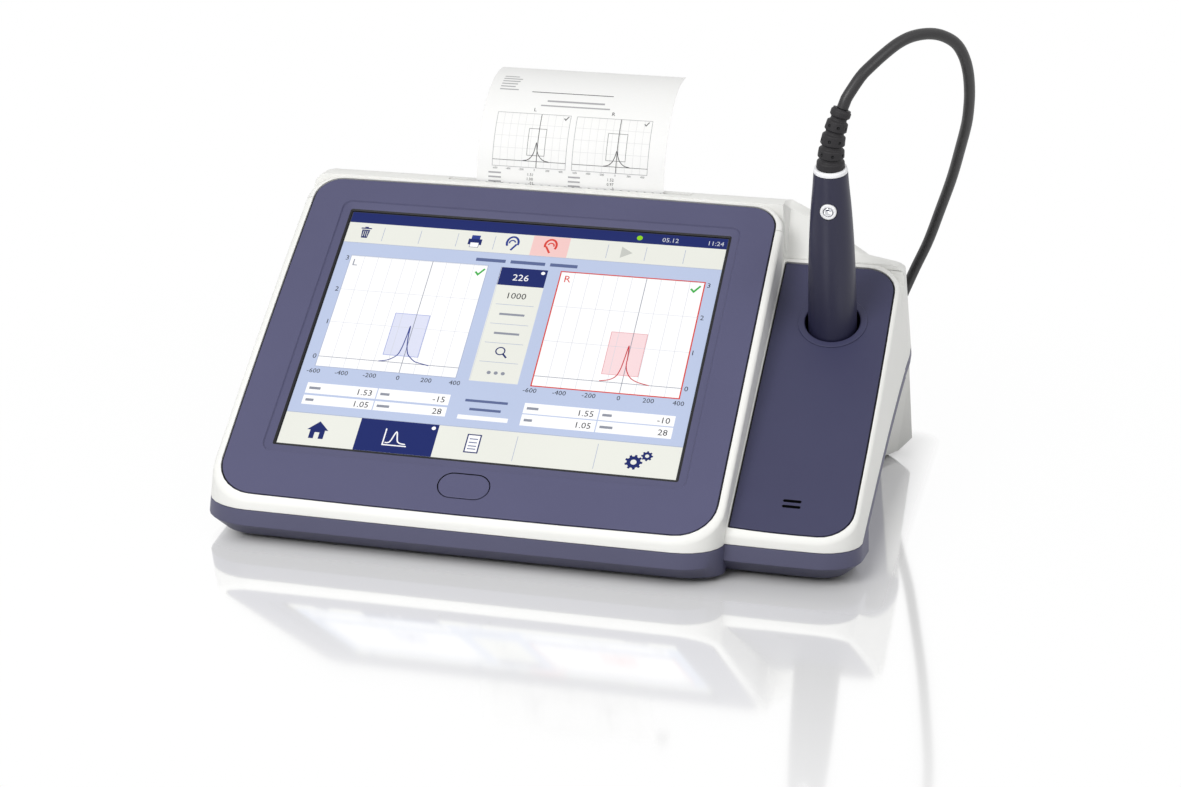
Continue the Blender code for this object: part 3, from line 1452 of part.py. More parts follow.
def build():
    clear_scene()
    left = -rim_half_width - wall_draft * (main_plane(rear_crest_y) - band_foot_height)
    right = side_wall_x + wall_draft * (side_plane(rear_crest_y) - band_foot_height)
    front = bezel_low - rim_end_width
    case = frame("case_place", (-(left + right) / 2, -(front * cos(panel_tilt) + rear_depth) / 2, 0))
    main = frame("main_panel_place", (0, 0, screen_foot_height), (panel_tilt, 0, 0), case)
    side = frame("side_panel_place", (0, side_front_y, side_front_height), (side_tilt, 0, 0), case)
    upper, rear, bottom, envelope = build_case(case, main, side)
    build_feet(case, bottom, rear)
    build_screws(case, bottom, upper)
    button_place = frame("power_button_axis", (0, button_v, 0), parent=main)
    build_bezel(main, button_place)
    button_low = build_power_button(button_place)
    build_screen(main, button_low)
    mouth = build_side_panel(side)
    mouth_y = side_front_y + cradle_along * cos(side_tilt)
    mouth_height = side_front_height + cradle_along * sin(side_tilt)
    probe = frame("probe_axis", (cradle_u, mouth_y, mouth_height), (probe_lean, probe_side_lean, 0), case)
    build_cradle_cup(side, mouth, probe)
    led_place = frame("probe_button_axis", (0, -handle_radius(led_height), led_height), (pi / 2, 0, 0), probe)
    build_probe(probe, led_place)
    build_probe_button(led_place)
    build_relief(probe)
    well = build_well(case)
    door = build_door(case, rear, envelope)
    build_feed(case, door, well)
    build_paper(case)
    socket = build_inside(case, rear)
    build_cable(case, probe, socket)


build()
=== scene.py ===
from math import atan2, cos, pi, radians, sin, sqrt, tan

import bmesh
import bpy
from mathutils import Euler, Matrix, Vector


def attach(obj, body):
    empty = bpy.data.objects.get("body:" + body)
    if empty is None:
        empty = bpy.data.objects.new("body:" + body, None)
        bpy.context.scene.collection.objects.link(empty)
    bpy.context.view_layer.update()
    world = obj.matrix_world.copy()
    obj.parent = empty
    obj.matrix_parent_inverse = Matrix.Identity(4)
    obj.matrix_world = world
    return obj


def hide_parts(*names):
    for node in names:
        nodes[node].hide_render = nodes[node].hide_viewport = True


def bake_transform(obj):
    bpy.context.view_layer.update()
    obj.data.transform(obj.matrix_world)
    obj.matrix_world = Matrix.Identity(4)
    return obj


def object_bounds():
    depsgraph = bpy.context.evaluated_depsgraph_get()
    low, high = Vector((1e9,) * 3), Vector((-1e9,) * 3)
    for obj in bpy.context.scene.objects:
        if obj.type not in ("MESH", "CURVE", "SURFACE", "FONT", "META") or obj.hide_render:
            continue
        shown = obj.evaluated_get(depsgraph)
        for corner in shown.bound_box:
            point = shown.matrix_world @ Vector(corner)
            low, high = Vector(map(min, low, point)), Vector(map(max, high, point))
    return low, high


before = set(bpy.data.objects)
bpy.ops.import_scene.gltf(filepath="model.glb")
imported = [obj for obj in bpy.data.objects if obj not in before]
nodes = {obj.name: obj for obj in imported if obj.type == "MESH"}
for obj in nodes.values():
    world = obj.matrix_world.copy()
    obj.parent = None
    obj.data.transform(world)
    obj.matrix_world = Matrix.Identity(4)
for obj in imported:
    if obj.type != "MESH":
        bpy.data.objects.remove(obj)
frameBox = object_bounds()
scene = bpy.context.scene
mm = 0.001

# Camera, from lines of the case and of its reflection in the photograph
view = {
    "place": (0.302546, -1.236255, 0.486008),
    "down": radians(18.8162),
    "turn": radians(13.3695),   # the camera looks a little to the left
    "roll": radians(0.6324),
    "focal": 76.034,            # mm on a 36 mm sensor
}


def buildCamera():
    cameraData = bpy.data.cameras.new("photoCamera")
    cameraData.lens = view["focal"]
    cameraData.sensor_width = 36
    camera = bpy.data.objects.new("photoCamera", cameraData)
    aim = Matrix.Rotation(view["turn"], 4, "Z") @ Matrix.Rotation(radians(90) - view["down"], 4, "X")
    camera.matrix_world = Matrix.Translation(view["place"]) @ aim @ Matrix.Rotation(view["roll"], 4, "Z")
    scene.collection.objects.link(camera)
    scene.camera = camera


buildCamera()
print("camera placed")


# Meshes

def makePiece(name, points, faces, materials, place=None, faceSlots=None, sharp=35, outward=True):
    mesh = bpy.data.meshes.new(name)
    mesh.from_pydata([Vector(point) for point in points], [], faces)
    if place is not None:
        mesh.transform(place)
    for material in materials:
        mesh.materials.append(material)
    if faceSlots:
        mesh.polygons.foreach_set("material_index", faceSlots)
    if outward:
        work = bmesh.new()
        work.from_mesh(mesh)
        bmesh.ops.recalc_face_normals(work, faces=work.faces)
        work.to_mesh(mesh)
        work.free()
    mesh.shade_smooth()
    mesh.set_sharp_from_angle(angle=radians(sharp))
    piece = bpy.data.objects.new(name, mesh)
    scene.collection.objects.link(piece)
    return piece


def settle(piece):
    # What the modifiers give becomes the piece's own mesh
    bpy.context.view_layer.update()
    graph = bpy.context.evaluated_depsgraph_get()
    mesh = bpy.data.meshes.new_from_object(piece.evaluated_get(graph))
    mesh.name = piece.name
    piece.modifiers.clear()
    piece.data = mesh
    return piece


def evenShading(piece, sharp=35):
    # Large flat faces keep their shading, and the small rounds beside them carry the turn
    piece.data.shade_smooth()
    piece.data.set_sharp_from_angle(angle=radians(sharp))
    weigh = piece.modifiers.new("evenShading", "WEIGHTED_NORMAL")
    weigh.mode = "FACE_AREA_WITH_ANGLE"
    weigh.keep_sharp = True
    return settle(piece)


def cutWith(piece, *cutters):
    for cutter in cutters:
        bite = piece.modifiers.new("cut", "BOOLEAN")
        bite.operation = "DIFFERENCE"
        bite.solver = "EXACT"
        bite.object = cutter
    settle(piece)
    for cutter in cutters:
        bpy.data.objects.remove(cutter)
    return piece


def loftRings(rings, closed=False):
    count = len(rings[0])
    points = [point for ring in rings for point in ring]
    faces = []
    for row in range(len(rings) if closed else len(rings) - 1):
        low, high = row * count, (row + 1) % len(rings) * count
        faces += [(low + spot, low + (spot + 1) % count, high + (spot + 1) % count, high + spot)
                  for spot in range(count)]
    if not closed:
        faces.append(tuple(range(count - 1, -1, -1)))
        faces.append(tuple(range(len(points) - count, len(points))))
    return points, faces


def turnedRings(profile, steps):
    return [[(radius * cos(2 * pi * step / steps), radius * sin(2 * pi * step / steps), height)
             for step in range(steps)] for radius, height in profile]


def mergedCopy(nodeName, pieceName, materials):
    # The node's loose triangles, joined into one skin on a mesh of its own
    work = bmesh.new()
    work.from_mesh(nodes[nodeName].data)
    bmesh.ops.remove_doubles(work, verts=work.verts, dist=0.005 * mm)
    work.verts.index_update()
    points = [vert.co.copy() for vert in work.verts]
    faces = [[vert.index for vert in face.verts] for face in work.faces]
    work.free()
    return makePiece(pieceName, points, faces, materials, outward=False)


# Materials

def toLinear(hexColour):
    channels = [int(hexColour[spot:spot + 2], 16) / 255 for spot in (1, 3, 5)]
    return tuple(value / 12.92 if value <= 0.04045 else ((value + 0.055) / 1.055) ** 2.4
                 for value in channels) + (1,)


def addNode(tree, kind, settings=None, links=None):
    node = tree.nodes.new(kind)
    for name, value in (settings or {}).items():
        if isinstance(name, int) or name in node.inputs:
            node.inputs[name].default_value = value
        else:
            setattr(node, name, value)
    for name, source in (links or {}).items():
        tree.links.new(source, node.inputs[name])
    return node


def newMaterial(name, settings):
    material = bpy.data.materials.new(name)
    material.use_nodes = True
    shader = material.node_tree.nodes["Principled BSDF"]
    for socket, value in settings.items():
        shader.inputs[socket].default_value = value
    spots = addNode(material.node_tree, "ShaderNodeTexCoord")
    return material, material.node_tree, shader, spots.outputs["Object"]


def mouldedPlastic(name, colour, other, roughness, grain, depth, edge=0.25, cloud=45, spread=0.06, sheen=0.3):
    # grain, depth, edge and cloud in mm: the mould's texture, its depth, the soft edge, slow colour drift
    material, tree, shader, spots = newMaterial(name, {"IOR": 1.5, "Specular IOR Level": sheen})
    drift = addNode(tree, "ShaderNodeTexNoise", {"Scale": 1000 / cloud, "Detail": 3}, {"Vector": spots})
    tint = addNode(tree, "ShaderNodeMix", {"data_type": "RGBA", 6: toLinear(colour), 7: toLinear(other)},
                   {0: drift.outputs[0]})
    tree.links.new(tint.outputs[2], shader.inputs["Base Color"])
    pebbles = addNode(tree, "ShaderNodeTexNoise", {"Scale": 1000 / grain, "Detail": 2}, {"Vector": spots})
    gloss = addNode(tree, "ShaderNodeMapRange", {"To Min": roughness - spread, "To Max": roughness + spread},
                    {"Value": pebbles.outputs[0]})
    tree.links.new(gloss.outputs[0], shader.inputs["Roughness"])
    softEdge = addNode(tree, "ShaderNodeBevel", {"samples": 4, "Radius": edge * mm})
    bump = addNode(tree, "ShaderNodeBump", {"Distance": depth * mm, "Strength": 0.6},
                   {"Height": pebbles.outputs[0], "Normal": softEdge.outputs[0]})
    tree.links.new(bump.outputs[0], shader.inputs["Normal"])
    return material


def workedMetal(name, colour, other, roughness, lay, stretch, depth):
    # lay is the spacing of the tool marks in mm, and stretch how much longer they run along each axis
    material, tree, shader, spots = newMaterial(name, {"Metallic": 1.0})
    run = addNode(tree, "ShaderNodeMapping", {"Scale": stretch}, {"Vector": spots})
    marks = addNode(tree, "ShaderNodeTexNoise", {"Scale": 1000 / lay, "Detail": 3}, {"Vector": run.outputs[0]})
    tint = addNode(tree, "ShaderNodeMix", {"data_type": "RGBA", 6: toLinear(colour), 7: toLinear(other)},
                   {0: marks.outputs[0]})
    tree.links.new(tint.outputs[2], shader.inputs["Base Color"])
    gloss = addNode(tree, "ShaderNodeMapRange", {"To Min": roughness * 0.75, "To Max": roughness * 1.3},
                    {"Value": marks.outputs[0]})
    tree.links.new(gloss.outputs[0], shader.inputs["Roughness"])
    bump = addNode(tree, "ShaderNodeBump", {"Distance": depth * mm, "Strength": 0.5},
                   {"Height": marks.outputs[0]})
    tree.links.new(bump.outputs[0], shader.inputs["Normal"])
    return material


def litColour(name, colour, share=0.72):
    # A lit picture glows with its own colour, a little uneven across the backlight
    material, tree, shader, spots = newMaterial(name, {"Roughness": 0.4, "Specular IOR Level": 0.12,
                                                          "Emission Strength": share})
    glow = addNode(tree, "ShaderNodeTexNoise", {"Scale": 1000 / 70, "Detail": 1}, {"Vector": spots})
    level = addNode(tree, "ShaderNodeMapRange", {"To Min": 0.96, "To Max": 1.03}, {"Value": glow.outputs[0]})
    shade = addNode(tree, "ShaderNodeVectorMath", {"operation": "SCALE", 0: toLinear(colour)[:3]},
                    {"Scale": level.outputs[0]})
    dim = addNode(tree, "ShaderNodeVectorMath", {"operation": "SCALE", "Scale": 1 - share},
                  {0: shade.outputs[0]})
    tree.links.new(shade.outputs[0], shader.inputs["Emission Color"])
    tree.links.new(dim.outputs[0], shader.inputs["Base Color"])
    return material


def fibrousSheet(name, colour, other, roughness, fibre, depth):
    # fibre is the width of the pulp's flecks in mm
    material, tree, shader, spots = newMaterial(name, {"Roughness": roughness, "IOR": 1.45})
    run = addNode(tree, "ShaderNodeMapping", {"Scale": (0.35, 1, 1)}, {"Vector": spots})
    pulp = addNode(tree, "ShaderNodeTexNoise", {"Scale": 1000 / fibre, "Detail": 4, "Roughness": 0.7},
                   {"Vector": run.outputs[0]})
    tint = addNode(tree, "ShaderNodeMix", {"data_type": "RGBA", 6: toLinear(colour), 7: toLinear(other)},
                   {0: pulp.outputs[0]})
    bump = addNode(tree, "ShaderNodeBump", {"Distance": depth * mm, "Strength": 0.5},
                   {"Height": pulp.outputs[0]})
    tree.links.new(tint.outputs[2], shader.inputs["Base Color"])
    tree.links.new(bump.outputs[0], shader.inputs["Normal"])
    return material


def maskedBoard(name):
    material, tree, shader, spots = newMaterial(name, {"Roughness": 0.35, "IOR": 1.5})
    tracks = addNode(tree, "ShaderNodeTexVoronoi", {"feature": "DISTANCE_TO_EDGE", "Scale": 1000 / 5},
                     {"Vector": spots})
    line = addNode(tree, "ShaderNodeMapRange", {"From Max": 0.09, "To Min": 1, "To Max": 0},
                   {"Value": tracks.outputs[0]})
    tint = addNode(tree, "ShaderNodeMix", {"data_type": "RGBA", 6: toLinear("#0f4f2a"), 7: toLinear("#2f7a48")},
                   {0: line.outputs[0]})
    bump = addNode(tree, "ShaderNodeBump", {"Distance": 0.035 * mm, "Strength": 0.5},
                   {"Height": line.outputs[0]})
    tree.links.new(tint.outputs[2], shader.inputs["Base Color"])
    tree.links.new(bump.outputs[0], shader.inputs["Normal"])
    return material


def coatedGlass(name):
    # A dark panel under clear glass with a fine etch, which breaks up what it mirrors
    material, tree, shader, spots = newMaterial(name, {"IOR": 1.52, "Coat Weight": 0.3})
    etch = addNode(tree, "ShaderNodeTexNoise", {"Scale": 1000 / 0.9, "Detail": 2}, {"Vector": spots})
    tint = addNode(tree, "ShaderNodeMix", {"data_type": "RGBA", 6: toLinear("#0d0f16"), 7: toLinear("#12151f")},
                   {0: etch.outputs[0]})
    gloss = addNode(tree, "ShaderNodeMapRange", {"To Min": 0.08, "To Max": 0.2}, {"Value": etch.outputs[0]})
    tree.links.new(tint.outputs[2], shader.inputs["Base Color"])
    tree.links.new(gloss.outputs[0], shader.inputs["Roughness"])
    return material


# White ABS, moulded with a fine spark finish: an even satin with no clear highlight
whiteAbs = mouldedPlastic("whiteAbsMoulded", "#ecece9", "#e6e6e2", 0.42, 0.7, 0.03, edge=0.45)
# Slate ABS from a coarser spark finish: soft sheen and a faint mottle, drawn at 0.9 mm so that it shows
slateAbs = mouldedPlastic("slateAbsSparkFinish", "#525270", "#4c4c69", 0.46, 0.9, 0.06, edge=0.25)
# The same resin, darker, on the side module's panel
moduleAbs = mouldedPlastic("moduleAbsSparkFinish", "#3c3d59", "#373753", 0.48, 0.9, 0.06, edge=0.2)
# The base is the darker shade too, with its colour lifted a little for the floor light it catches: painted light
baseAbsWithPaintedFloorLight = mouldedPlastic("slateBaseMouldedWithFloorLight", "#56566f", "#505068", 0.45, 0.9, 0.05, edge=0.8)
# The handle is smoother, so it carries one long soft highlight
probeAbs = mouldedPlastic("probeAbsSatin", "#23233c", "#1f1f36", 0.4, 0.6, 0.02, edge=0.2, spread=0.05, sheen=0.45)
# Black polycarbonate on the cup and the other black parts: nearly no light comes back. The same black is put on the
# walls of gaps, holes and dimples as painted shade
blackPlasticAndGapShade = mouldedPlastic("blackPlasticMouldedWithGapShade", "#101014", "#0b0b0e", 0.5, 0.8, 0.02)
# Gloss white ABS on the collar and the button's ring
glossWhiteAbs = mouldedPlastic("whiteAbsPolished", "#f3f3f4", "#ededf0", 0.2, 1.5, 0.005, edge=0.15, spread=0.03)
# Soft PVC jacket, extruded: dark grey with a dull sheen and slow waviness
pvcJacket = mouldedPlastic("softPvcExtruded", "#232224", "#1b1a1c", 0.42, 2.2, 0.03, edge=0.2, cloud=18, sheen=0.5)
# Thermoplastic rubber, moulded: matt, with a slow random drift of tone
reliefRubber = mouldedPlastic("rubberMoulded", "#29282a", "#211f22", 0.55, 0.6, 0.03, edge=0.3, cloud=9)
footRubber = mouldedPlastic("footRubberMoulded", "#1b1b1c", "#232324", 0.75, 0.8, 0.05)
rollerRubber = mouldedPlastic("siliconeRubberGround", "#2a2a2c", "#343436", 0.65, 0.5, 0.02)
siliconeHose = mouldedPlastic("siliconeHoseExtruded", "#c9cbcc", "#bfc2c4", 0.4, 2.0, 0.02)
# Acetal gears: milky and slightly waxy
acetal = mouldedPlastic("acetalMoulded", "#e4e3dd", "#dad9d2", 0.38, 1.2, 0.01, edge=0.1)
tieFabric = mouldedPlastic("nylonHookTape", "#18181a", "#242427", 0.85, 0.5, 0.12, cloud=4)
# Rolled steel and aluminium sheet: fine marks along the rolling direction
rolledSheet = workedMetal("aluminiumSheetRolled", "#b9babc", "#a7a8ab", 0.34, 0.5, (0.08, 1, 1), 0.006)
turnedSteel = workedMetal("steelTurned", "#b4b5b8", "#9c9da1", 0.26, 0.35, (1, 0.1, 0.1), 0.005)
blackedSteel = workedMetal("steelBlackened", "#3a3a3e", "#2c2c30", 0.42, 0.6, (1, 1, 1), 0.01)
castZinc = workedMetal("zincDieCast", "#7d7e83", "#6b6c70", 0.5, 1.2, (1, 1, 1), 0.03)
nickelPlate = workedMetal("brassNickelPlated", "#cfcdc8", "#c2c0bb", 0.2, 0.8, (1, 1, 1), 0.003)
# Chromed brass on the probe's button: a small clear mirror
chromedBrass = workedMetal("brassChromed", "#d8d9dc", "#cfd0d4", 0.09, 3.0, (1, 1, 1), 0.002)
# Thermal paper: bright, flat, with pulp too fine to count
thermalPaper = fibrousSheet("thermalPaperCoated", "#ececeb", "#e6e6e4", 0.62, 0.6, 0.012)
grayBoard = fibrousSheet("cardTubeWound", "#b28d63", "#a07c54", 0.85, 1.0, 0.08)
printInk = fibrousSheet("thermalPrint", "#6a6a6c", "#5c5c5e", 0.7, 0.5, 0.0)
paleInk = fibrousSheet("thermalPrintPale", "#a9a9ab", "#9f9fa1", 0.7, 0.5, 0.0)
faintInk = fibrousSheet("thermalPrintFaint", "#d2d2d2", "#cacaca", 0.7, 0.5, 0.0)
darkInk = fibrousSheet("thermalPrintDark", "#3e3e40", "#343436", 0.7, 0.5, 0.0)
solderMask = maskedBoard("fibreglassBoardMasked")
touchGlass = coatedGlass("touchGlassEtched")
print("materials made")

# Places of the panels and of the probe, which take millimetres into the frame

intoFrame = Matrix.Diagonal((mm, mm, mm, 1))
panelPlace = Matrix.Translation((-0.030167, -0.095775, 0.0464)) @ Matrix.Rotation(radians(34.77), 4, "X") @ intoFrame
modulePlace = Matrix.Translation((-0.030167, -0.105675, 0.0268)) @ Matrix.Rotation(radians(31), 4, "X") @ intoFrame
probeLean = Euler((radians(12.5), radians(-1.2), 0)).to_matrix().to_4x4()
probePlace = Matrix.Translation((0.135733, 0.015186, 0.09942)) @ probeLean @ intoFrame
buttonOut = Vector((0.004533, -0.976296, -0.216392))
pushPlace = (Matrix.Translation((0.134359, -0.00992, 0.165027))
             @ buttonOut.to_track_quat("Z", "Y").to_matrix().to_4x4() @ intoFrame)


# Cable: from the probe over its arc, down to the coil behind the case, and into the rear socket

cable = {
    "radius": 0.003, "sides": 20, "spacing": 0.0026,
    "startGap": 0.0003,
    "coilCentre": (0.044833, 0.184225), "coilInner": 0.030, "coilStep": 0.0068,
    "coilLow": 0.0032, "coilLayer": 0.0066, "coilTurns": 3.5, "coilCrossing": 0.25,
    "plugEnd": (0.109833, 0.157850, 0.028),
    # the points of the arc and of the tail, before the shift that puts the case over the origin
    "shift": (-0.030167, -0.095775, 0),
    "arc": ((0.1766, 0.0955, 0.2336), (0.1811, 0.1000, 0.2386), (0.1866, 0.1065, 0.2437),
            (0.1925, 0.1145, 0.2481), (0.1986, 0.1225, 0.2505), (0.2059, 0.1314, 0.2507),
            (0.2124, 0.1394, 0.2485), (0.2185, 0.1479, 0.2434), (0.2223, 0.1560, 0.2355),
            (0.2243, 0.1653, 0.2253), (0.2248, 0.1756, 0.2134), (0.2242, 0.1848, 0.2026),
            (0.2227, 0.1948, 0.1910), (0.2189, 0.2089, 0.1740), (0.2138, 0.2252, 0.1531),
            (0.2068, 0.2416, 0.1299), (0.2000, 0.2542, 0.1081), (0.1925, 0.2625, 0.0890),
            (0.1850, 0.2680, 0.0690), (0.1775, 0.2705, 0.0490), (0.1690, 0.2695, 0.0300),
            (0.1570, 0.2635, 0.0145), (0.1400, 0.2525, 0.0062), (0.1200, 0.2430, 0.0036),
            (0.1010, 0.2385, 0.0032)),
    "tail": ((0.0980, 0.3215, 0.0094), (0.1150, 0.3142, 0.0062), (0.1285, 0.3010, 0.0045),
             (0.1360, 0.2860, 0.0100), (0.1390, 0.2740, 0.0200)),
    "bendLow": 0.034, "bendHigh": 0.218,   # the heights where the cable's bend starts and ends
}
tie = {"angle": 180, "width": 9.0, "wall": 0.45, "inner": 0.0301, "outer": 0.0435, "low": 0.00012, "high": 0.0131}
plug = {
    "place": (0.109833, 0.12625, 0.028),
    "pin": ((0, -4.7), (3.2, -4.7), (3.7, -4.2), (3.7, 1.3)),
    "body": ((3.7, 1.3), (6.2, 1.3), (6.8, 1.9), (6.8, 18.4), (6.2, 19.3), (5.1, 19.5)),
    "ridges": 5, "ridgeFirst": 5.0, "ridgePitch": 2.4, "ridgeDepth": 0.5,
    "tail": ((5.1, 19.5), (4.9, 22.0), (4.5, 26.0), (4.05, 30.2), (3.6, 31.2), (3.05, 31.3)),
}


def reliefPoint(share):
    # Centre line of the bent strain relief, in the probe's millimetres
    return Vector((5.5 * share ** 2, 4.95 * share ** 2, 90.3 + 30 * share))


def smoothStep(low, high, value):
    share = min(max((value - low) / (high - low), 0), 1)
    return share * share * (3 - 2 * share)


def curvedThrough(points, steps=12):
    last = len(points) - 1
    dense = []
    for number in range(last):
        a, b = points[max(number - 1, 0)], points[number]
        c, d = points[number + 1], points[min(number + 2, last)]
        for step in range(steps):
            t = step / steps
            dense.append(((b * 2) + (c - a) * t + (a * 2 - b * 5 + c * 4 - d) * t ** 2
                          + (b * 3 - a - c * 3 + d) * t ** 3) / 2)
    return dense + [points[-1]]


def evenPoints(points, spacing):
    runs = [0]
    for before, after in zip(points, points[1:]):
        runs.append(runs[-1] + (after - before).length)
    count = round(runs[-1] / spacing)
    even, spot = [], 0
    for number in range(count + 1):
        run = runs[-1] * number / count
        while spot < len(runs) - 2 and runs[spot + 1] < run:
            spot += 1
        share = (run - runs[spot]) / (runs[spot + 1] - runs[spot])
        even.append(points[spot].lerp(points[spot + 1], min(share, 1)))
    return even


def cableLine():
    tip = probePlace @ reliefPoint(1)
    out = (tip - probePlace @ reliefPoint(0.98)).normalized()
    across, move, wide = Vector((1, 0, 0)), Vector(cable["shift"]), cable["radius"] * 2
    coil, count, half = [], round(cable["coilTurns"] * 96), cable["coilTurns"] / 2
    for step in range(count + 1):
        turns = cable["coilTurns"] * step / count
        turn = -pi / 2 - 2 * pi * turns
        reach = cable["coilInner"] + cable["coilStep"] * abs(turns - half)
        lift = smoothStep(half - cable["coilCrossing"], half + cable["coilCrossing"], turns)
        coil.append(Vector((cable["coilCentre"][0] + reach * cos(turn), cable["coilCentre"][1] + reach * sin(turn),
                            cable["coilLow"] + cable["coilLayer"] * lift)))
    free = [tip + out * wide] + [Vector(point) + move for point in cable["arc"]]
    free.append(coil[0] + across * (wide * 2 + cable["startGap"]))
    end = Vector(cable["plugEnd"])
    tail = [coil[-1] + across * (wide * 2 + cable["startGap"])]
    tail += [Vector(point) + move for point in cable["tail"]] + [end + Vector((0, wide, 0))]
    line = [tip + out * cable["startGap"]] + curvedThrough(free) + coil + curvedThrough(tail) + [end]
    return evenPoints(line, cable["spacing"])


def tubeRings(line, radii, sides):
    across = (line[1] - line[0]).orthogonal().normalized()
    rings = []
    for number, point in enumerate(line):
        heading = (line[min(number + 1, len(line) - 1)] - line[max(number - 1, 0)]).normalized()
        across = (across - heading * across.dot(heading)).normalized()
        up = heading.cross(across)
        rings.append([point + (across * cos(2 * pi * step / sides) + up * sin(2 * pi * step / sides)) * radii[number]
                      for step in range(sides)])
    return rings


def buildTie():
    # A hook-and-loop band drawn round the coil's bundle
    middle, half, wall = radians(tie["angle"]), tie["width"] * mm / 2, tie["wall"] * mm
    loops = []
    for grow, bottom in ((0, 0.00008), (wall, 0)):
        low, high = tie["low"] - 0.00002 + (0.00002 if grow == 0 else 0), tie["high"] + grow
        left, right, bend = tie["inner"] - grow, tie["outer"] + grow, 0.0032 + grow
        loop = []
        for cornerX, cornerZ, start in ((right - bend, high - bend, 0), (left + bend, high - bend, 90),
                                        (left + bend, low + bend, 180), (right - bend, low + bend, 270)):
            for step in range(9):
                turn = radians(start + step * 90 / 8)
                loop.append((cornerX + bend * cos(turn), cornerZ + bend * sin(turn)))
        loops.append(loop)
    rings = []
    for loop, shares in ((loops[0], (-1, -0.5, 0, 0.5, 1)), (loops[1], (1, 0.97, 0.5, 0, -0.5, -0.97, -1))):
        for share in shares:
            turn = middle + share * half / ((tie["inner"] + tie["outer"]) / 2)
            rings.append([Vector((cable["coilCentre"][0] + reach * cos(turn), cable["coilCentre"][1] + reach * sin(turn),
                                  height)) for reach, height in loop])
    points, faces = loftRings(rings, closed=True)
    band = makePiece("coilTie", points, faces, [tieFabric])
    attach(band, "case")
    return band


def buildPlug():
    ridged = list(plug["body"][:3])
    for number in range(plug["ridges"]):
        low = plug["ridgeFirst"] + plug["ridgePitch"] * number
        deep = plug["body"][2][0] - plug["ridgeDepth"]
        ridged += [(plug["body"][2][0], low), (deep, low + 0.3), (deep, low + 0.9), (plug["body"][2][0], low + 1.2)]
    ridged += list(plug["body"][3:]) + list(plug["tail"][1:])
    place = Matrix.Translation(plug["place"]) @ Matrix.Rotation(radians(-90), 4, "X") @ intoFrame
    points, faces = loftRings(turnedRings(ridged, 48))
    grip = makePiece("cablePlugGrip", points, faces, [reliefRubber], place, sharp=50)
    points, faces = loftRings(turnedRings([(max(radius, 0.4), height) for radius, height in plug["pin"]], 40))
    pin = makePiece("cablePlugPin", points, faces, [nickelPlate], place)
    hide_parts("cable_plug")
    for piece in (grip, pin):
        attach(piece, "case")
    return grip, pin


line = cableLine()
points, faces = loftRings(tubeRings(line, [cable["radius"]] * len(line), cable["sides"]))
jacket = makePiece("probeCable", points, faces, [pvcJacket], sharp=60)
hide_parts("probe_cable", "cable_coil", "cable_tail")
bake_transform(jacket)
coilBand = buildTie()
plugGrip, plugPin = buildPlug()


# Outlines: a rounded rectangle whose sides bow outwards, and a long rounded slot

def bowedOutline(left, right, low, high, radii, bow=(0, 0, 0, 0), cornerSteps=12, edgeSteps=16):
    # Counter-clockwise from the low left corner; radii and bows go the same way
    spots = ((left, low, 1, 1), (right, low, -1, 1), (right, high, -1, -1), (left, high, 1, -1))
    corners = []
    for number, (u, v, across, along) in enumerate(spots):
        start = pi + number * pi / 2
        corners.append([(u + across * radii[number] + radii[number] * cos(start + step * pi / 2 / cornerSteps),
                         v + along * radii[number] + radii[number] * sin(start + step * pi / 2 / cornerSteps))
                        for step in range(cornerSteps + 1)])
    points = []
    for number, arc in enumerate(corners):
        points += arc
        after = corners[(number + 1) % 4][0]
        points += [(arc[-1][0] + (after[0] - arc[-1][0]) * step / edgeSteps,
                    arc[-1][1] + (after[1] - arc[-1][1]) * step / edgeSteps) for step in range(1, edgeSteps)]
    middleU, middleV = (left + right) / 2, (low + high) / 2
    halfU, halfV = (right - left) / 2, (high - low) / 2
    bowed = []
    for u, v in points:
        across, along = (u - middleU) / halfU, (v - middleV) / halfV
        side = bow[1] if across > 0 else bow[3]
        end = bow[2] if along > 0 else bow[0]
        bowed.append((u + side * across * (1 - along ** 2), v + end * along * (1 - across ** 2)))
    return bowed


def slotOutline(length, width, grow=0, steps=16):
    half, radius = (length - width) / 2, width / 2 + grow
    return [(centre + radius * cos(start + step * pi / steps), radius * sin(start + step * pi / steps))
            for centre, start in ((half, -pi / 2), (-half, pi / 2)) for step in range(steps + 1)]


def atHeight(outline, height, u=0, v=0):
    return [(x + u, y + v, height) for x, y in outline]


def slotCutter(name, outline, low, high, u, v, place, materials, slot):
    points, faces = loftRings([atHeight(outline, low, u, v), atHeight(outline, high, u, v)])
    return makePiece(name, points, faces, materials, place, [slot] * len(faces))


# Main bezel, with its sunk and sloping band round the screen

bezel = {
    "half": 129.7, "low": -34.0, "high": 179.9, "lowRadius": 20.0, "highRadius": 14.0, "bow": (1.0, 0, 1.0, 1.0),
    "thickness": 2.4, "edge": 0.4, "edgeSteps": 8,
    "bandHalf": 111.4, "bandLow": -6.5, "bandHigh": 164.3, "bandRadius": 5.0, "bandTop": 0.95, "bandDepth": 1.9,
    "jointIn": 0.62, "jointOut": 0.15, "jointDepth": 1.1,
    "screenHalf": 105.6, "screenHigh": 158.4, "windowGap": 0.3, "windowSlope": 1.2,
}
powerKey = {"length": 27.0, "width": 15.0, "v": -17.5, "gap": 0.3, "rise": 0.1, "flange": 1.6, "skirt": 1.5,
            "edge": 0.35, "dish": 0.12, "shrink": 0.25}


def bezelOutline(grow):
    radii = (bezel["lowRadius"] + grow,) * 2 + (bezel["highRadius"] + grow,) * 2
    return bowedOutline(-bezel["half"] - grow, bezel["half"] + grow, bezel["low"] - grow, bezel["high"] + grow,
                        radii, bezel["bow"])


def screenOutline(grow, radius):
    return bowedOutline(-bezel["screenHalf"] - grow, bezel["screenHalf"] + grow, -grow, bezel["screenHigh"] + grow,
                        (radius,) * 4)


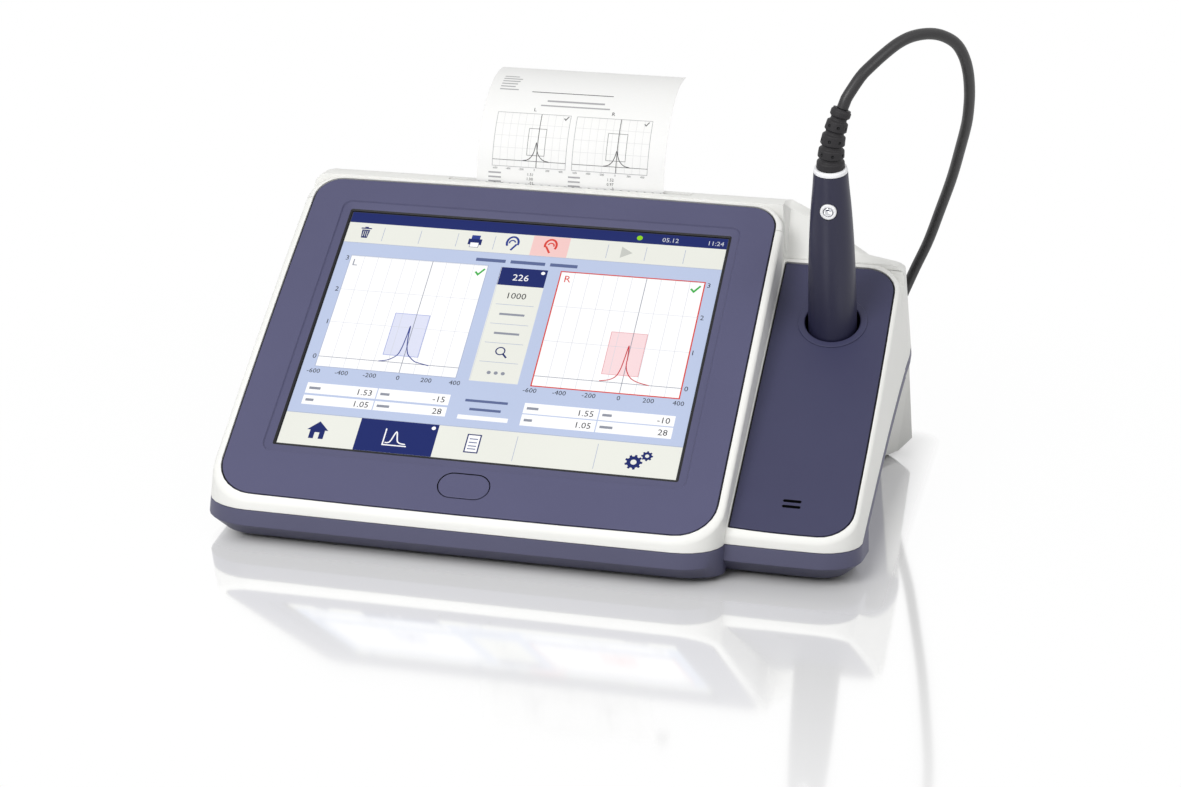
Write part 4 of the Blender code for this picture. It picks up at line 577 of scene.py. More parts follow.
def buildBezel():
    edge, deep = bezel["edge"], bezel["thickness"]
    band = {grow: bowedOutline(-bezel["bandHalf"] - grow, bezel["bandHalf"] + grow, bezel["bandLow"] - grow,
                               bezel["bandHigh"] + grow, (bezel["bandRadius"] + grow,) * 4)
            for grow in (0.3, -0.3)}
    wide = bezel["windowGap"] + bezel["windowSlope"]
    rings = [atHeight(bezelOutline(bezel["jointOut"]), -deep), atHeight(bezelOutline(bezel["jointOut"]), -bezel["jointDepth"]),
             atHeight(bezelOutline(-bezel["jointIn"]), -bezel["jointDepth"] - 0.1)]
    for step in range(bezel["edgeSteps"] + 1):
        turn = pi / 2 * step / bezel["edgeSteps"]
        rings.append(atHeight(bezelOutline(-bezel["jointIn"] - edge * (1 - cos(turn))), -edge * (1 - sin(turn))))
    rings += [atHeight(band[0.3], 0), atHeight(band[-0.3], -bezel["bandTop"])]
    rings += [atHeight(screenOutline(wide + 0.35, 1.6), -bezel["bandDepth"] + 0.06),
              atHeight(screenOutline(wide, 1.3), -bezel["bandDepth"] - 0.06),
              atHeight(screenOutline(bezel["windowGap"], 0.6), -deep)]
    points, faces = loftRings(rings, closed=True)
    count = len(rings[0])
    # The joint's faces round the bezel take the black, a painted shade in the gap; the window's wall is black as well
    slots = [1 if number // count in (0, 1, len(rings) - 2) else 0 for number in range(len(faces))]
    surround = makePiece("mainBezel", points, faces, [slateAbs, blackPlasticAndGapShade], panelPlace, slots)
    # The key's hole is cut with its walls in the black, a painted shade in the gap round the key
    hole = slotOutline(powerKey["length"], powerKey["width"], powerKey["gap"])
    cutWith(surround, slotCutter("keyHole", hole, -9, 9, 0, powerKey["v"], panelPlace,
                                 [slateAbs, blackPlasticAndGapShade], 1))
    surround = evenShading(surround, 12.5)
    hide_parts("main_bezel")
    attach(surround, "case")


def buildPowerKey():
    low = -bezel["thickness"] - powerKey["gap"] - powerKey["flange"]
    top, edge = powerKey["rise"], powerKey["edge"]
    sizes = [(powerKey["skirt"], low), (powerKey["skirt"], low + powerKey["flange"]), (-powerKey["shrink"], low + powerKey["flange"])]
    sizes += [(-powerKey["shrink"] - edge * (1 - cos(pi / 2 * step / 4)), top - edge * (1 - sin(pi / 2 * step / 4))) for step in range(5)]
    sizes += [(-1.6, top - powerKey["dish"] * 0.3), (-4.0, top - powerKey["dish"] * 0.8), (-6.6, top - powerKey["dish"])]
    rings = [atHeight(slotOutline(powerKey["length"], powerKey["width"], grow), height, 0, powerKey["v"])
             for grow, height in sizes]
    points, faces = loftRings(rings)
    key = evenShading(makePiece("powerKey", points, faces, [slateAbs], panelPlace), 30)
    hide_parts("power_button")
    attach(key, "power_button")


buildBezel()
buildPowerKey()
print("bezel and power key made")


# Side module's panel, with the cradle's ring and the speaker's slots

module = {
    "left": 134.5, "right": 195.0, "high": 181.5, "radius": 16.0, "innerRadius": 0.8, "bow": (1.0, 1.0, 0, 0),
    "thickness": 2.4, "edge": 0.4,
    "slotLength": 9.3, "slotWidth": 1.7, "slotU": 163.6, "slotV": (16.2, 19.7),
    "ringU": 165.9, "ringV": 141.0, "ringHole": 16.5,
    "ring": ((14.5, -2.4), (16.2, -2.4), (16.2, 0.3), (18.3, 0.3), (18.27, 0.42), (18.15, 0.54), (17.95, 0.6),
             (15.35, 0.6), (15.0, 0.53), (14.72, 0.34), (14.55, 0.1), (14.5, -0.2)),
    "ringBlack": 11,
}


def moduleOutline(grow):
    inner = max(module["innerRadius"] + grow, 0.3)
    radii = (inner,) + (module["radius"] + grow,) * 2 + (inner,)
    return bowedOutline(module["left"] - grow, module["right"] + grow, -grow, module["high"] + grow, radii,
                        module["bow"])


def buildModule():
    edge, deep = module["edge"], module["thickness"]
    rings = [atHeight(moduleOutline(bezel["jointOut"]), -deep), atHeight(moduleOutline(bezel["jointOut"]), -bezel["jointDepth"]),
             atHeight(moduleOutline(-bezel["jointIn"]), -bezel["jointDepth"] - 0.1)]
    for step in range(6):
        turn = pi / 2 * step / 5
        rings.append(atHeight(moduleOutline(-bezel["jointIn"] - edge * (1 - cos(turn))), -edge * (1 - sin(turn))))
    points, faces = loftRings(rings)
    # The joint's faces and the walls of the ring's hole and of the speaker's slots take the black, a painted shade in
    # the gaps and holes
    inks = [moduleAbs, blackPlasticAndGapShade]
    slots = [1 if number // len(rings[0]) in (0, 1) else 0 for number in range(len(faces))]
    panel = makePiece("modulePanel", points, faces, inks, modulePlace, slots)
    ringHole = [(module["ringHole"] * cos(2 * pi * step / 96), module["ringHole"] * sin(2 * pi * step / 96))
                for step in range(96)]
    cutters = [slotCutter("ringHole", ringHole, -9, 9, module["ringU"], module["ringV"], modulePlace, inks, 1)]
    slot = slotOutline(module["slotLength"], module["slotWidth"], 0, 10)
    for v in module["slotV"]:
        cutters.append(slotCutter("speakerSlot", slot, -9, 9, module["slotU"], v, modulePlace, inks, 1))
    panel = evenShading(cutWith(panel, *cutters), 30)
    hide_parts("side_panel")
    spot = modulePlace @ Matrix.Translation((module["ringU"], module["ringV"], 0))
    rings = turnedRings(module["ring"], 96)
    points, faces = loftRings(rings, closed=True)
    # The ring's inner wall, down into the cup, takes the same black
    slots = [1 if number // 96 >= module["ringBlack"] - 1 else 0 for number in range(len(faces))]
    collar = evenShading(makePiece("cradleRing", points, faces, inks, spot, slots), 40)
    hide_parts("cradle_ring")
    for piece in (panel, collar):
        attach(piece, "case")


buildModule()
print("side module made")


# Probe: handle, collar, push button with its ring, and the ribbed strain relief

probe = {
    "radius": 12.8, "length": 87.4, "wall": 1.8, "steps": 96,
    "shares": ((-0.34, 0.74), (-0.31, 0.87), (-0.26, 0.95), (-0.15, 0.99), (0, 1), (0.17, 0.985), (0.34, 0.962),
               (0.50, 0.926), (0.66, 0.87), (0.80, 0.803), (0.91, 0.735), (1, 0.69)),
    "collarLow": 87.7, "collar": ((7.03, 0), (8.75, 0), (8.83, 0.12), (8.83, 0.5), (8.74, 1.35), (8.5, 2.0),
                                  (8.2, 2.26), (7.8, 2.3), (7.03, 2.3)),
    "pushHole": 4.5, "pushDepth": 3.5,
    "pushRing": ((2.7, -3.2), (4.2, -3.2), (4.2, 0), (4.12, 0.25), (3.9, 0.44), (3.6, 0.5), (2.95, 0.5), (2.78, 0.44),
                 (2.7, 0.3)),
    "push": ((2.4, -2.7), (2.4, -0.1), (2.3, 0.18), (2.1, 0.4), (1.92, 0.48), (1.6, 0.42), (1.1, 0.25), (0.5, 0.17)),
}
relief = {
    "base": 7.35, "tip": 5.0, "steps": 150, "sides": 48,
    "grooves": (0.15, 0.37, 0.61, 0.84), "grooveHalf": 0.034, "grooveSoft": 0.02, "grooveDepth": 1.15,
    "bands": (0.26, 0.49, 0.725), "dimples": 7, "dimpleRadius": 0.85, "dimpleTurn": 14,
    "capLow": 0.90, "capRadius": 5.3, "lipLow": 0.972, "lipRadius": 4.7,
}


def reliefRadius(share):
    radius = relief["base"] + (relief["tip"] - relief["base"]) * share
    for groove in relief["grooves"]:
        away = abs(share - groove)
        radius -= relief["grooveDepth"] * (1 - smoothStep(relief["grooveHalf"] - relief["grooveSoft"],
                                                           relief["grooveHalf"] + relief["grooveSoft"], away))
    cap = smoothStep(relief["capLow"] - 0.012, relief["capLow"] + 0.012, share)
    radius += (relief["capRadius"] - radius) * cap
    lip = smoothStep(relief["lipLow"] - 0.012, relief["lipLow"] + 0.012, share)
    return radius + (relief["lipRadius"] - radius) * lip


def dimpleTree():
    # Small round cutters, one on each vertex of the mesh that comes in
    tree = bpy.data.node_groups.new("dimples", "GeometryNodeTree")
    tree.interface.new_socket("Spots", in_out="INPUT", socket_type="NodeSocketGeometry")
    tree.interface.new_socket("Dimple radius", in_out="INPUT", socket_type="NodeSocketFloat")
    tree.interface.new_socket("Dimple shade", in_out="INPUT", socket_type="NodeSocketMaterial")
    tree.interface.new_socket("Cutters", in_out="OUTPUT", socket_type="NodeSocketGeometry")
    given = addNode(tree, "NodeGroupInput")
    ball = addNode(tree, "GeometryNodeMeshIcoSphere", {"Subdivisions": 2}, {"Radius": given.outputs["Dimple radius"]})
    spots = addNode(tree, "GeometryNodeMeshToPoints", {}, {"Mesh": given.outputs["Spots"]})
    placed = addNode(tree, "GeometryNodeInstanceOnPoints", {},
                     {"Points": spots.outputs[0], "Instance": ball.outputs["Mesh"]})
    real = addNode(tree, "GeometryNodeRealizeInstances", {}, {"Geometry": placed.outputs[0]})
    painted = addNode(tree, "GeometryNodeSetMaterial", {},
                      {"Geometry": real.outputs[0], "Material": given.outputs["Dimple shade"]})
    addNode(tree, "NodeGroupOutput", {}, {"Cutters": painted.outputs[0]})
    return tree


def growWith(piece, tree, values):
    # The modifier's inputs are set by their identifiers before it is first evaluated
    nodesModifier = piece.modifiers.new("grow", "NODES")
    nodesModifier.node_group = tree
    for item in tree.interface.items_tree:
        if item.in_out == "INPUT" and item.name in values:
            nodesModifier[item.identifier] = values[item.name]
    return settle(piece)


def buildProbe():
    outer = curvedThrough([Vector((probe["radius"] * radius, probe["length"] * height, 0))
                           for height, radius in probe["shares"]], 6)
    outer = [(point.x, point.y) for point in outer]
    inner = [(radius - probe["wall"], height) for radius, height in reversed(outer[::6] + outer[-1:])]
    inks = [probeAbs, blackPlasticAndGapShade]
    points, faces = loftRings(turnedRings(outer + inner, probe["steps"]), closed=True)
    handle = makePiece("probeHandle", points, faces, inks, probePlace)
    hole = [(probe["pushHole"] * cos(2 * pi * step / 64), probe["pushHole"] * sin(2 * pi * step / 64))
            for step in range(64)]
    # The push hole's wall takes the black, a painted shade in the gap round the button's ring
    cutWith(handle, slotCutter("pushHole", hole, -probe["pushDepth"], 12, 0, 0, pushPlace, inks, 1))
    handle.data.shade_smooth()
    handle.data.set_sharp_from_angle(angle=radians(32))
    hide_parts("probe_handle")
    rise = Matrix.Translation((0, 0, probe["collarLow"]))
    points, faces = loftRings(turnedRings(probe["collar"], probe["steps"]), closed=True)
    collar = makePiece("probeCollar", points, faces, [glossWhiteAbs], probePlace @ rise)
    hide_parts("probe_collar")
    points, faces = loftRings(turnedRings(probe["pushRing"], 64), closed=True)
    ring = makePiece("probeButtonRing", points, faces, [glossWhiteAbs], pushPlace)
    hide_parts("probe_button_ring")
    for piece in (handle, collar, ring):
        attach(piece, "probe")
    points, faces = loftRings(turnedRings(probe["push"], 48))
    push = makePiece("probeButton", points, faces, [chromedBrass], pushPlace)
    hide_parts("probe_button")
    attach(push, "probe_button")


def buildRelief():
    shares = [step / relief["steps"] for step in range(relief["steps"] + 1)]
    centres = [reliefPoint(share) for share in shares]
    rings = tubeRings(centres, [reliefRadius(share) for share in shares], relief["sides"])
    points, faces = loftRings(rings)
    sleeve = makePiece("strainRelief", points, faces, [reliefRubber, blackPlasticAndGapShade], probePlace, sharp=45)
    spots = []
    for number, share in enumerate(relief["bands"]):
        centre = reliefPoint(share)
        along = (reliefPoint(share + 0.01) - reliefPoint(share - 0.01)).normalized()
        across = (Vector((0, -1, 0)) - along * -along.y).normalized()
        side = along.cross(across)
        for step in range(relief["dimples"]):
            turn = 2 * pi * (step + 0.5 * (number % 2)) / relief["dimples"] + radians(relief["dimpleTurn"])
            reach = reliefRadius(share) + relief["dimpleRadius"] * 0.1
            spots.append(centre + (across * cos(turn) + side * sin(turn)) * reach)
    dots = makePiece("dimpleSpots", spots, [], [], probePlace, outward=False)
    # The dimples' walls take the black, a painted shade in the recesses
    values = {"Dimple radius": relief["dimpleRadius"] * mm, "Dimple shade": blackPlasticAndGapShade}
    balls = growWith(dots, dimpleTree(), values)
    sleeve = cutWith(sleeve, balls)
    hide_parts("strain_relief")
    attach(sleeve, "probe")


buildProbe()
buildRelief()
print("probe made")


# Drawings: flat shapes in millimetres, each on a thin layer of its own and with a number for its ink

def newDrawing(inks):
    return {"points": [], "faces": [], "slots": [], "inks": list(inks)}


def addFaces(drawing, points, faces, layer, ink):
    start = len(drawing["points"])
    drawing["points"] += [(x, y, layer) for x, y in points]
    for face in faces:
        spots = [points[number] for number in face]
        area = sum(a[0] * b[1] - b[0] * a[1] for a, b in zip(spots, spots[1:] + spots[:1]))
        order = face if area > 0 else list(reversed(face))
        drawing["faces"].append([start + number for number in order])
        drawing["slots"].append(drawing["inks"].index(ink))


def addPolygon(drawing, outline, layer, ink):
    addFaces(drawing, outline, [list(range(len(outline)))], layer, ink)


def addRect(drawing, left, low, right, high, layer, ink):
    addPolygon(drawing, [(left, low), (right, low), (right, high), (left, high)], layer, ink)


def addDisc(drawing, x, y, radius, layer, ink, steps=28):
    addPolygon(drawing, [(x + radius * cos(2 * pi * step / steps), y + radius * sin(2 * pi * step / steps))
                         for step in range(steps)], layer, ink)


def addLine(drawing, line, width, layer, ink, closed=False):
    line = [Vector((x, y)) for x, y in line]
    if closed:
        line = line + [line[0]]
    sides = []
    for number, point in enumerate(line):
        before, after = line[max(number - 1, 0)], line[min(number + 1, len(line) - 1)]
        if closed and number in (0, len(line) - 1):
            before, after = line[-2], line[1]
        a = (point - before).normalized() if (point - before).length else (after - point).normalized()
        b = (after - point).normalized() if (after - point).length else a
        along = (a + b).normalized()
        reach = width / 2 / max(abs(along.dot(a)), 0.4)
        sides.append((point + Vector((-along.y, along.x)) * reach, point - Vector((-along.y, along.x)) * reach))
    points = [tuple(side) for pair in sides for side in pair]
    faces = [[number * 2, number * 2 + 1, number * 2 + 3, number * 2 + 2] for number in range(len(sides) - 1)]
    addFaces(drawing, points, faces, layer, ink)


def addFrame(drawing, left, low, right, high, width, layer, ink):
    addLine(drawing, [(left, low), (right, low), (right, high), (left, high)], width, layer, ink, closed=True)


def addArc(drawing, x, y, radius, start, end, width, layer, ink, steps=20, flat=1.0):
    line = []
    for step in range(steps + 1):
        turn = radians(start + (end - start) * step / steps)
        line.append((x + radius * cos(turn) * flat, y + radius * sin(turn)))
    addLine(drawing, line, width, layer, ink)


def addDigits(drawing, words, x, y, height, layer, ink, align="centre"):
    # Plain figures; y is the middle of their height
    font = bpy.data.curves.new("figures", "FONT")
    font.body = words
    font.resolution_u = 2
    holder = bpy.data.objects.new("figures", font)
    scene.collection.objects.link(holder)
    bpy.context.view_layer.update()
    mesh = bpy.data.meshes.new_from_object(holder.evaluated_get(bpy.context.evaluated_depsgraph_get()))
    size = height / 0.7
    spots = [(vertex.co.x * size, vertex.co.y * size) for vertex in mesh.vertices]
    left, right = min(spot[0] for spot in spots), max(spot[0] for spot in spots)
    shift = {"left": x - left, "right": x - right, "centre": x - (left + right) / 2}[align]
    addFaces(drawing, [(across + shift, up + y - height / 2) for across, up in spots],
             [list(face.vertices) for face in mesh.polygons], layer, ink)
    bpy.data.objects.remove(holder)
    bpy.data.curves.remove(font)
    bpy.data.meshes.remove(mesh)


def barTree():
    # A row of flat bars, as a graph's grid has
    tree = bpy.data.node_groups.new("gridBars", "GeometryNodeTree")
    for name, kind in (("Spots", "Geometry"), ("Count", "Int"), ("Pitch", "Float"), ("Width", "Float"),
                       ("Length", "Float"), ("Ink", "Material")):
        tree.interface.new_socket(name, in_out="INPUT", socket_type="NodeSocket" + kind)
    tree.interface.new_socket("Bars", in_out="OUTPUT", socket_type="NodeSocketGeometry")
    given = addNode(tree, "NodeGroupInput")
    step = addNode(tree, "ShaderNodeCombineXYZ", {}, {"X": given.outputs["Pitch"]})
    row = addNode(tree, "GeometryNodeMeshLine", {},
                  {"Count": given.outputs["Count"], "Offset": step.outputs[0]})
    bar = addNode(tree, "GeometryNodeMeshGrid", {"Vertices X": 2, "Vertices Y": 2},
                  {"Size X": given.outputs["Width"], "Size Y": given.outputs["Length"]})
    placed = addNode(tree, "GeometryNodeInstanceOnPoints", {},
                     {"Points": row.outputs[0], "Instance": bar.outputs["Mesh"]})
    real = addNode(tree, "GeometryNodeRealizeInstances", {}, {"Geometry": placed.outputs[0]})
    inked = addNode(tree, "GeometryNodeSetMaterial", {},
                    {"Geometry": real.outputs[0], "Material": given.outputs["Ink"]})
    addNode(tree, "NodeGroupOutput", {}, {"Bars": inked.outputs[0]})
    return tree


gridBars = barTree()


def addBars(drawing, count, pitch, width, length, x, y, upright, layer, ink):
    # x and y are the middle of the first bar
    row = makePiece("gridRow", [(0, 0, 0)], [], [], outward=False)
    growWith(row, gridBars, {"Count": count, "Pitch": float(pitch), "Width": float(width), "Length": float(length)})
    spots = [(vertex.co.x, vertex.co.y) for vertex in row.data.vertices]
    spots = [(a + x, b + y) if upright else (b + x, a + y) for a, b in spots]
    addFaces(drawing, spots, [list(face.vertices) for face in row.data.polygons], layer, ink)
    bpy.data.objects.remove(row)


# Screen picture: what the lit display shows, in millimetres on the glass

screenInks = {"navy": "#1b2868", "sky": "#bcc8e4", "cream": "#e9eae2", "white": "#fdfdfe", "pink": "#f2c9c6",
              "rose": "#f6d9dc", "lilac": "#dcdff2", "blue": "#2b3c8c", "red": "#d8463a", "crimson": "#c8343c",
              "mist": "#cfd2da", "steel": "#8f93a0", "ink": "#14151b", "leaf": "#3fae49", "lime": "#8fd21f",
              "bar": "#5d6a94", "shade": "#a9b3cb", "ghost": "#c6c8c2", "edgeBlue": "#8f9cd6", "edgeRose": "#e09aa0"}
picture = {
    "glassTop": -2.7, "first": 0.02, "layer": 0.02, "half": 105.4, "high": 158.2,
    "gridWidth": 0.22, "curveWidth": 0.55, "figure": 3.1, "valueFigure": 3.7,
    "left": {"box": (-98.4, 51.1, -21.0, 127.7), "step": 7.74, "zero": -52.0, "rows": (57.7, 81.3, 103.8, 127.2),
             "labels": -99.5, "rect": (-63.7, 62.3, -44.6, 90.4), "footer": 49.0, "figureStep": 15.5,
             "tick": (-24.8, 122.8), "ear": (-95.0, 122.9),
             "curve": ((-65.1, 57.7), (-60.1, 59.1), (-56.0, 62.6), (-54.6, 67.9), (-53.9, 76.0), (-53.5, 82.2),
                       (-53.0, 75.6), (-52.1, 69.1), (-50.5, 64.1), (-48.3, 61.5), (-45.6, 59.4), (-43.0, 58.6),
                       (-37.5, 57.4))},
    "right": {"box": (19.7, 50.3, 98.1, 127.4), "step": 7.84, "zero": 66.7, "rows": (56.9, 80.3, 103.7, 127.0),
              "labels": 99.6, "rect": (54.9, 61.9, 74.2, 89.7), "footer": 48.4, "figureStep": 15.7,
              "tick": (93.6, 122.4), "ear": (24.2, 122.6),
              "curve": ((54.6, 57.3), (59.5, 58.5), (62.7, 61.1), (64.2, 65.8), (65.0, 72.7), (65.8, 81.2),
                        (66.5, 74.3), (66.8, 68.3), (68.2, 64.0), (70.7, 60.5), (74.8, 58.3), (80.8, 56.9))},
    "tables": ((-99.2, -60.7, -60.1, -21.0, (33.2, 40.1, 26.0, 31.9), ("1.53", "-15", "1.05", "28")),
               (19.1, 58.4, 59.0, 98.4, (32.6, 39.2, 24.8, 31.9), ("1.55", "-10", "1.05", "28"))),
}


def addTick(drawing, x, y, size, layer, ink):
    addLine(drawing, [(x - size * 0.5, y), (x - size * 0.12, y - size * 0.42), (x + size * 0.55, y + size * 0.5)],
            size * 0.24, layer, ink)


def addEar(drawing, x, y, size, side, layer, ink):
    # Outer rim, inner fold and lobe
    addArc(drawing, x, y + size * 0.12, size * 0.5, 90 - side * 125, 90 + side * 110, size * 0.15, layer, ink, flat=0.78)
    addLine(drawing, [(x - side * size * 0.30, y + size * 0.02), (x - side * size * 0.12, y - size * 0.28),
                      (x + side * size * 0.02, y - size * 0.52)], size * 0.14, layer, ink)
    addArc(drawing, x + side * size * 0.02, y + size * 0.12, size * 0.2, 90 - side * 110, 90 + side * 80, size * 0.1,
           layer, ink)


def addGear(drawing, x, y, radius, teeth, layer, ink, hole):
    outline = []
    for tooth in range(teeth):
        for share, reach in ((-0.3, 0.78), (-0.18, 1), (0.18, 1), (0.3, 0.78)):
            turn = 2 * pi * (tooth + share) / teeth
            outline.append((x + radius * reach * cos(turn), y + radius * reach * sin(turn)))
    addPolygon(drawing, outline, layer, ink)
    addDisc(drawing, x, y, radius * 0.34, layer + picture["layer"], hole)


def drawGraph(drawing, plot, level, frameInk, rectInk, rectEdge, curveInk, mark, side):
    left, low, right, high = plot["box"]
    addRect(drawing, left, low, right, high, level[1], "white")
    middle, tall = (low + high) / 2, high - low
    count = int((right - left) / plot["step"])
    first = plot["zero"] - plot["step"] * int((plot["zero"] - left) / plot["step"])
    addBars(drawing, count + 1, plot["step"], picture["gridWidth"], tall, first, middle, True, level[3], "mist")
    for row in plot["rows"]:
        dark = row == plot["rows"][0]
        addRect(drawing, left, row - (0.19 if dark else 0.11), right, row + (0.19 if dark else 0.11), level[4],
                "steel" if dark else "mist")
    addRect(drawing, plot["rect"][0], plot["rect"][1], plot["rect"][2], plot["rect"][3], level[2], rectInk)
    addFrame(drawing, *plot["rect"], 0.32, level[4], rectEdge)
    addRect(drawing, plot["zero"] - 0.19, low, plot["zero"] + 0.19, high, level[4], "steel")
    addFrame(drawing, left, low, right, high, 0.7 if side > 0 else 0.35, level[4], frameInk)
    smooth = curvedThrough([Vector((x, y, 0)) for x, y in plot["curve"]], 6)
    addLine(drawing, [(point.x, point.y) for point in smooth], picture["curveWidth"], level[5], curveInk)
    addTick(drawing, *plot["tick"], 4.6, level[5], "leaf")
    addDigits(drawing, mark, *plot["ear"], 4.5, level[5], "steel" if side < 0 else "red")
    for number, row in enumerate(plot["rows"]):
        addDigits(drawing, str(number), plot["labels"], row - (1.4 if number == 3 else 0), picture["figure"], level[2],
                  "ink", "right" if side < 0 else "left")
    for number in range(6):
        addDigits(drawing, str(-600 + 200 * number), left + plot["figureStep"] * number, plot["footer"] - 1.0,
                  picture["figure"] * 0.92, level[2], "ink")


def drawToolbar(drawing, level):
    half, high = picture["half"], picture["high"]
    addRect(drawing, -half, 151.0, half, high, level[1], "navy")
    addDisc(drawing, 57.5, 154.6, 1.6, level[2], "lime")
    addDigits(drawing, "05.12", 70.0, 154.5, 2.9, level[2], "mist", "left")
    addDigits(drawing, "11:24", 103.6, 154.5, 2.9, level[2], "mist", "right")
    addRect(drawing, -half, 136.6, half, 151.0, level[1], "cream")
    addRect(drawing, -half, 136.6, half, 136.9, level[2], "shade")
    addRect(drawing, -0.3, 137.0, 20.2, 150.8, level[2], "pink")
    for u in (-84.5, -63.5, -42.4, -21.4, 41.6, 62.7, 83.8):
        addRect(drawing, u - 0.15, 139.0, u + 0.15, 148.5, level[2], "shade")
    # bin, printer, two ears and a start mark
    addPolygon(drawing, [(-97.2, 146.2), (-96.6, 140.4), (-93.2, 140.4), (-92.6, 146.2)], level[3], "navy")
    addRect(drawing, -97.9, 146.8, -91.9, 147.6, level[3], "navy")
    addRect(drawing, -95.9, 147.6, -93.9, 148.3, level[3], "navy")
    for u in (-96.0, -94.9, -93.8):
        addRect(drawing, u - 0.16, 141.4, u + 0.16, 145.5, level[4], "cream")
    addRect(drawing, -36.0, 141.4, -28.4, 145.4, level[3], "navy")
    addRect(drawing, -34.6, 145.4, -29.8, 148.0, level[3], "blue")
    addRect(drawing, -34.6, 139.6, -29.8, 142.9, level[4], "white")
    addFrame(drawing, -34.6, 139.6, -29.8, 142.9, 0.25, level[5], "navy")
    addEar(drawing, -11.2, 143.7, 8.2, -1, level[3], "blue")
    addEar(drawing, 10.1, 143.7, 8.2, 1, level[3], "red")
    addPolygon(drawing, [(49.2, 139.8), (55.6, 143.7), (49.2, 147.6)], level[3], "ghost")
    for left, right in ((-28.7, -12.2), (-9.4, 9.8), (12.6, 27.7)):
        addRect(drawing, left, 130.3, right, 132.5, level[2], "bar")


def drawCentre(drawing, level):
    addRect(drawing, -13.8, 50.4, 12.5, 115.2, level[1], "cream")
    addRect(drawing, -13.6, 115.2, 12.4, 127.4, level[1], "navy")
    addDigits(drawing, "226", -1.4, 121.0, 4.3, level[2], "white")
    addDisc(drawing, 10.1, 125.1, 1.1, level[2], "white")
    for v in (102.1, 89.0, 76.2, 63.5):
        addRect(drawing, -11.1, v - 0.15, 9.8, v + 0.15, level[2], "shade")
    addDigits(drawing, "1000", -0.7, 108.4, 4.0, level[2], "ink")
    for v in (95.6, 82.7):
        addRect(drawing, -7.6, v - 0.7, 6.2, v + 0.7, level[2], "steel")
    addArc(drawing, -1.4, 71.0, 2.4, 0, 360, 0.7, level[2], "navy")
    addLine(drawing, [(0.4, 69.2), (2.6, 66.8)], 1.0, level[2], "navy")
    for u in (-4.4, -0.6, 3.2):
        addDisc(drawing, u, 56.5, 1.1, level[2], "steel")
    for v, left, right in ((37.6, -12.6, 10.2), (32.2, -9.2, 7.6)):
        addRect(drawing, left, v - 0.8, right, v + 0.8, level[2], "bar")
    addRect(drawing, -14.4, 25.5, 12.5, 28.2, level[2], "white")


def drawTables(drawing, level):
    for left, split, after, right, rows, values in picture["tables"]:
        for row in range(2):
            low, high = rows[row * 2], rows[row * 2 + 1]
            for side, (start, end) in enumerate(((left, split), (after, right))):
                addRect(drawing, start, low, end, high, level[1], "white")
                wide = (6.2, 5.0, 4.4, 6.8)[row * 2 + side]
                addRect(drawing, start + 1.6, (low + high) / 2 - 0.8, start + 1.6 + wide, (low + high) / 2 + 0.8,
                        level[2], "steel")
                addDigits(drawing, values[row * 2 + side], end - 2.4, (low + high) / 2, picture["valueFigure"],
                          level[2], "ink", "right")


def drawFooter(drawing, level):
    addRect(drawing, -picture["half"], 0.2, picture["half"], 20.6, level[1], "cream")
    addRect(drawing, -picture["half"], 20.3, picture["half"], 20.7, level[2], "shade")
    addRect(drawing, -64.2, 0.2, -22.2, 20.4, level[2], "navy")
    addDisc(drawing, -24.8, 18.0, 1.1, level[3], "white")
    addLine(drawing, [(-49.4, 15.2), (-49.4, 5.0), (-36.6, 5.0)], 0.7, level[3], "white")
    peak = [Vector((x, y, 0)) for x, y in ((-48.4, 6.4), (-45.8, 7.2), (-43.6, 13.6), (-41.6, 7.4), (-37.4, 6.2))]
    addLine(drawing, [(point.x, point.y) for point in curvedThrough(peak, 6)], 0.7, level[3], "white")
    for u in (20.1, 62.3):
        addRect(drawing, u - 0.15, 2.3, u + 0.15, 17.8, level[2], "shade")
    # house, report and gears
    addPolygon(drawing, [(-91.4, 10.2), (-85.6, 15.8), (-79.8, 10.2)], level[2], "navy")
    addRect(drawing, -89.6, 4.8, -81.6, 10.4, level[2], "navy")
    addRect(drawing, -86.9, 4.8, -84.3, 8.8, level[3], "cream")
    addRect(drawing, -6.2, 4.9, 1.4, 16.6, level[2], "navy")
    addRect(drawing, -5.5, 5.6, 0.7, 15.9, level[3], "white")
    for v in (13.6, 11.4, 9.2, 7.4):
        addRect(drawing, -4.6, v - 0.3, -0.2, v + 0.3, level[4], "bar")
    addGear(drawing, 82.2, 8.6, 4.6, 9, level[2], "navy", "cream")
    addGear(drawing, 88.4, 13.0, 3.1, 8, level[2], "navy", "cream")


def buildPicture():
    level = [picture["glassTop"] + picture["first"] + picture["layer"] * number for number in range(7)]
    drawing = newDrawing(screenInks)
    addRect(drawing, -picture["half"], 0.2, picture["half"], picture["high"], level[0], "sky")
    drawToolbar(drawing, level)
    drawGraph(drawing, picture["left"], level, "shade", "lilac", "edgeBlue", "blue", "L", -1)
    drawGraph(drawing, picture["right"], level, "red", "rose", "edgeRose", "crimson", "R", 1)
    drawCentre(drawing, level)
    drawTables(drawing, level)
    drawFooter(drawing, level)
    inks = [litColour("screen" + name.capitalize(), colour) for name, colour in screenInks.items()]
    lit = makePiece("screenPicture", drawing["points"], drawing["faces"], inks, panelPlace, drawing["slots"],
                    outward=False)
    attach(lit, "case")


buildPicture()
print("screen picture drawn")


# Paper strip: up through the slot and over in one even curl, with its printed graphs

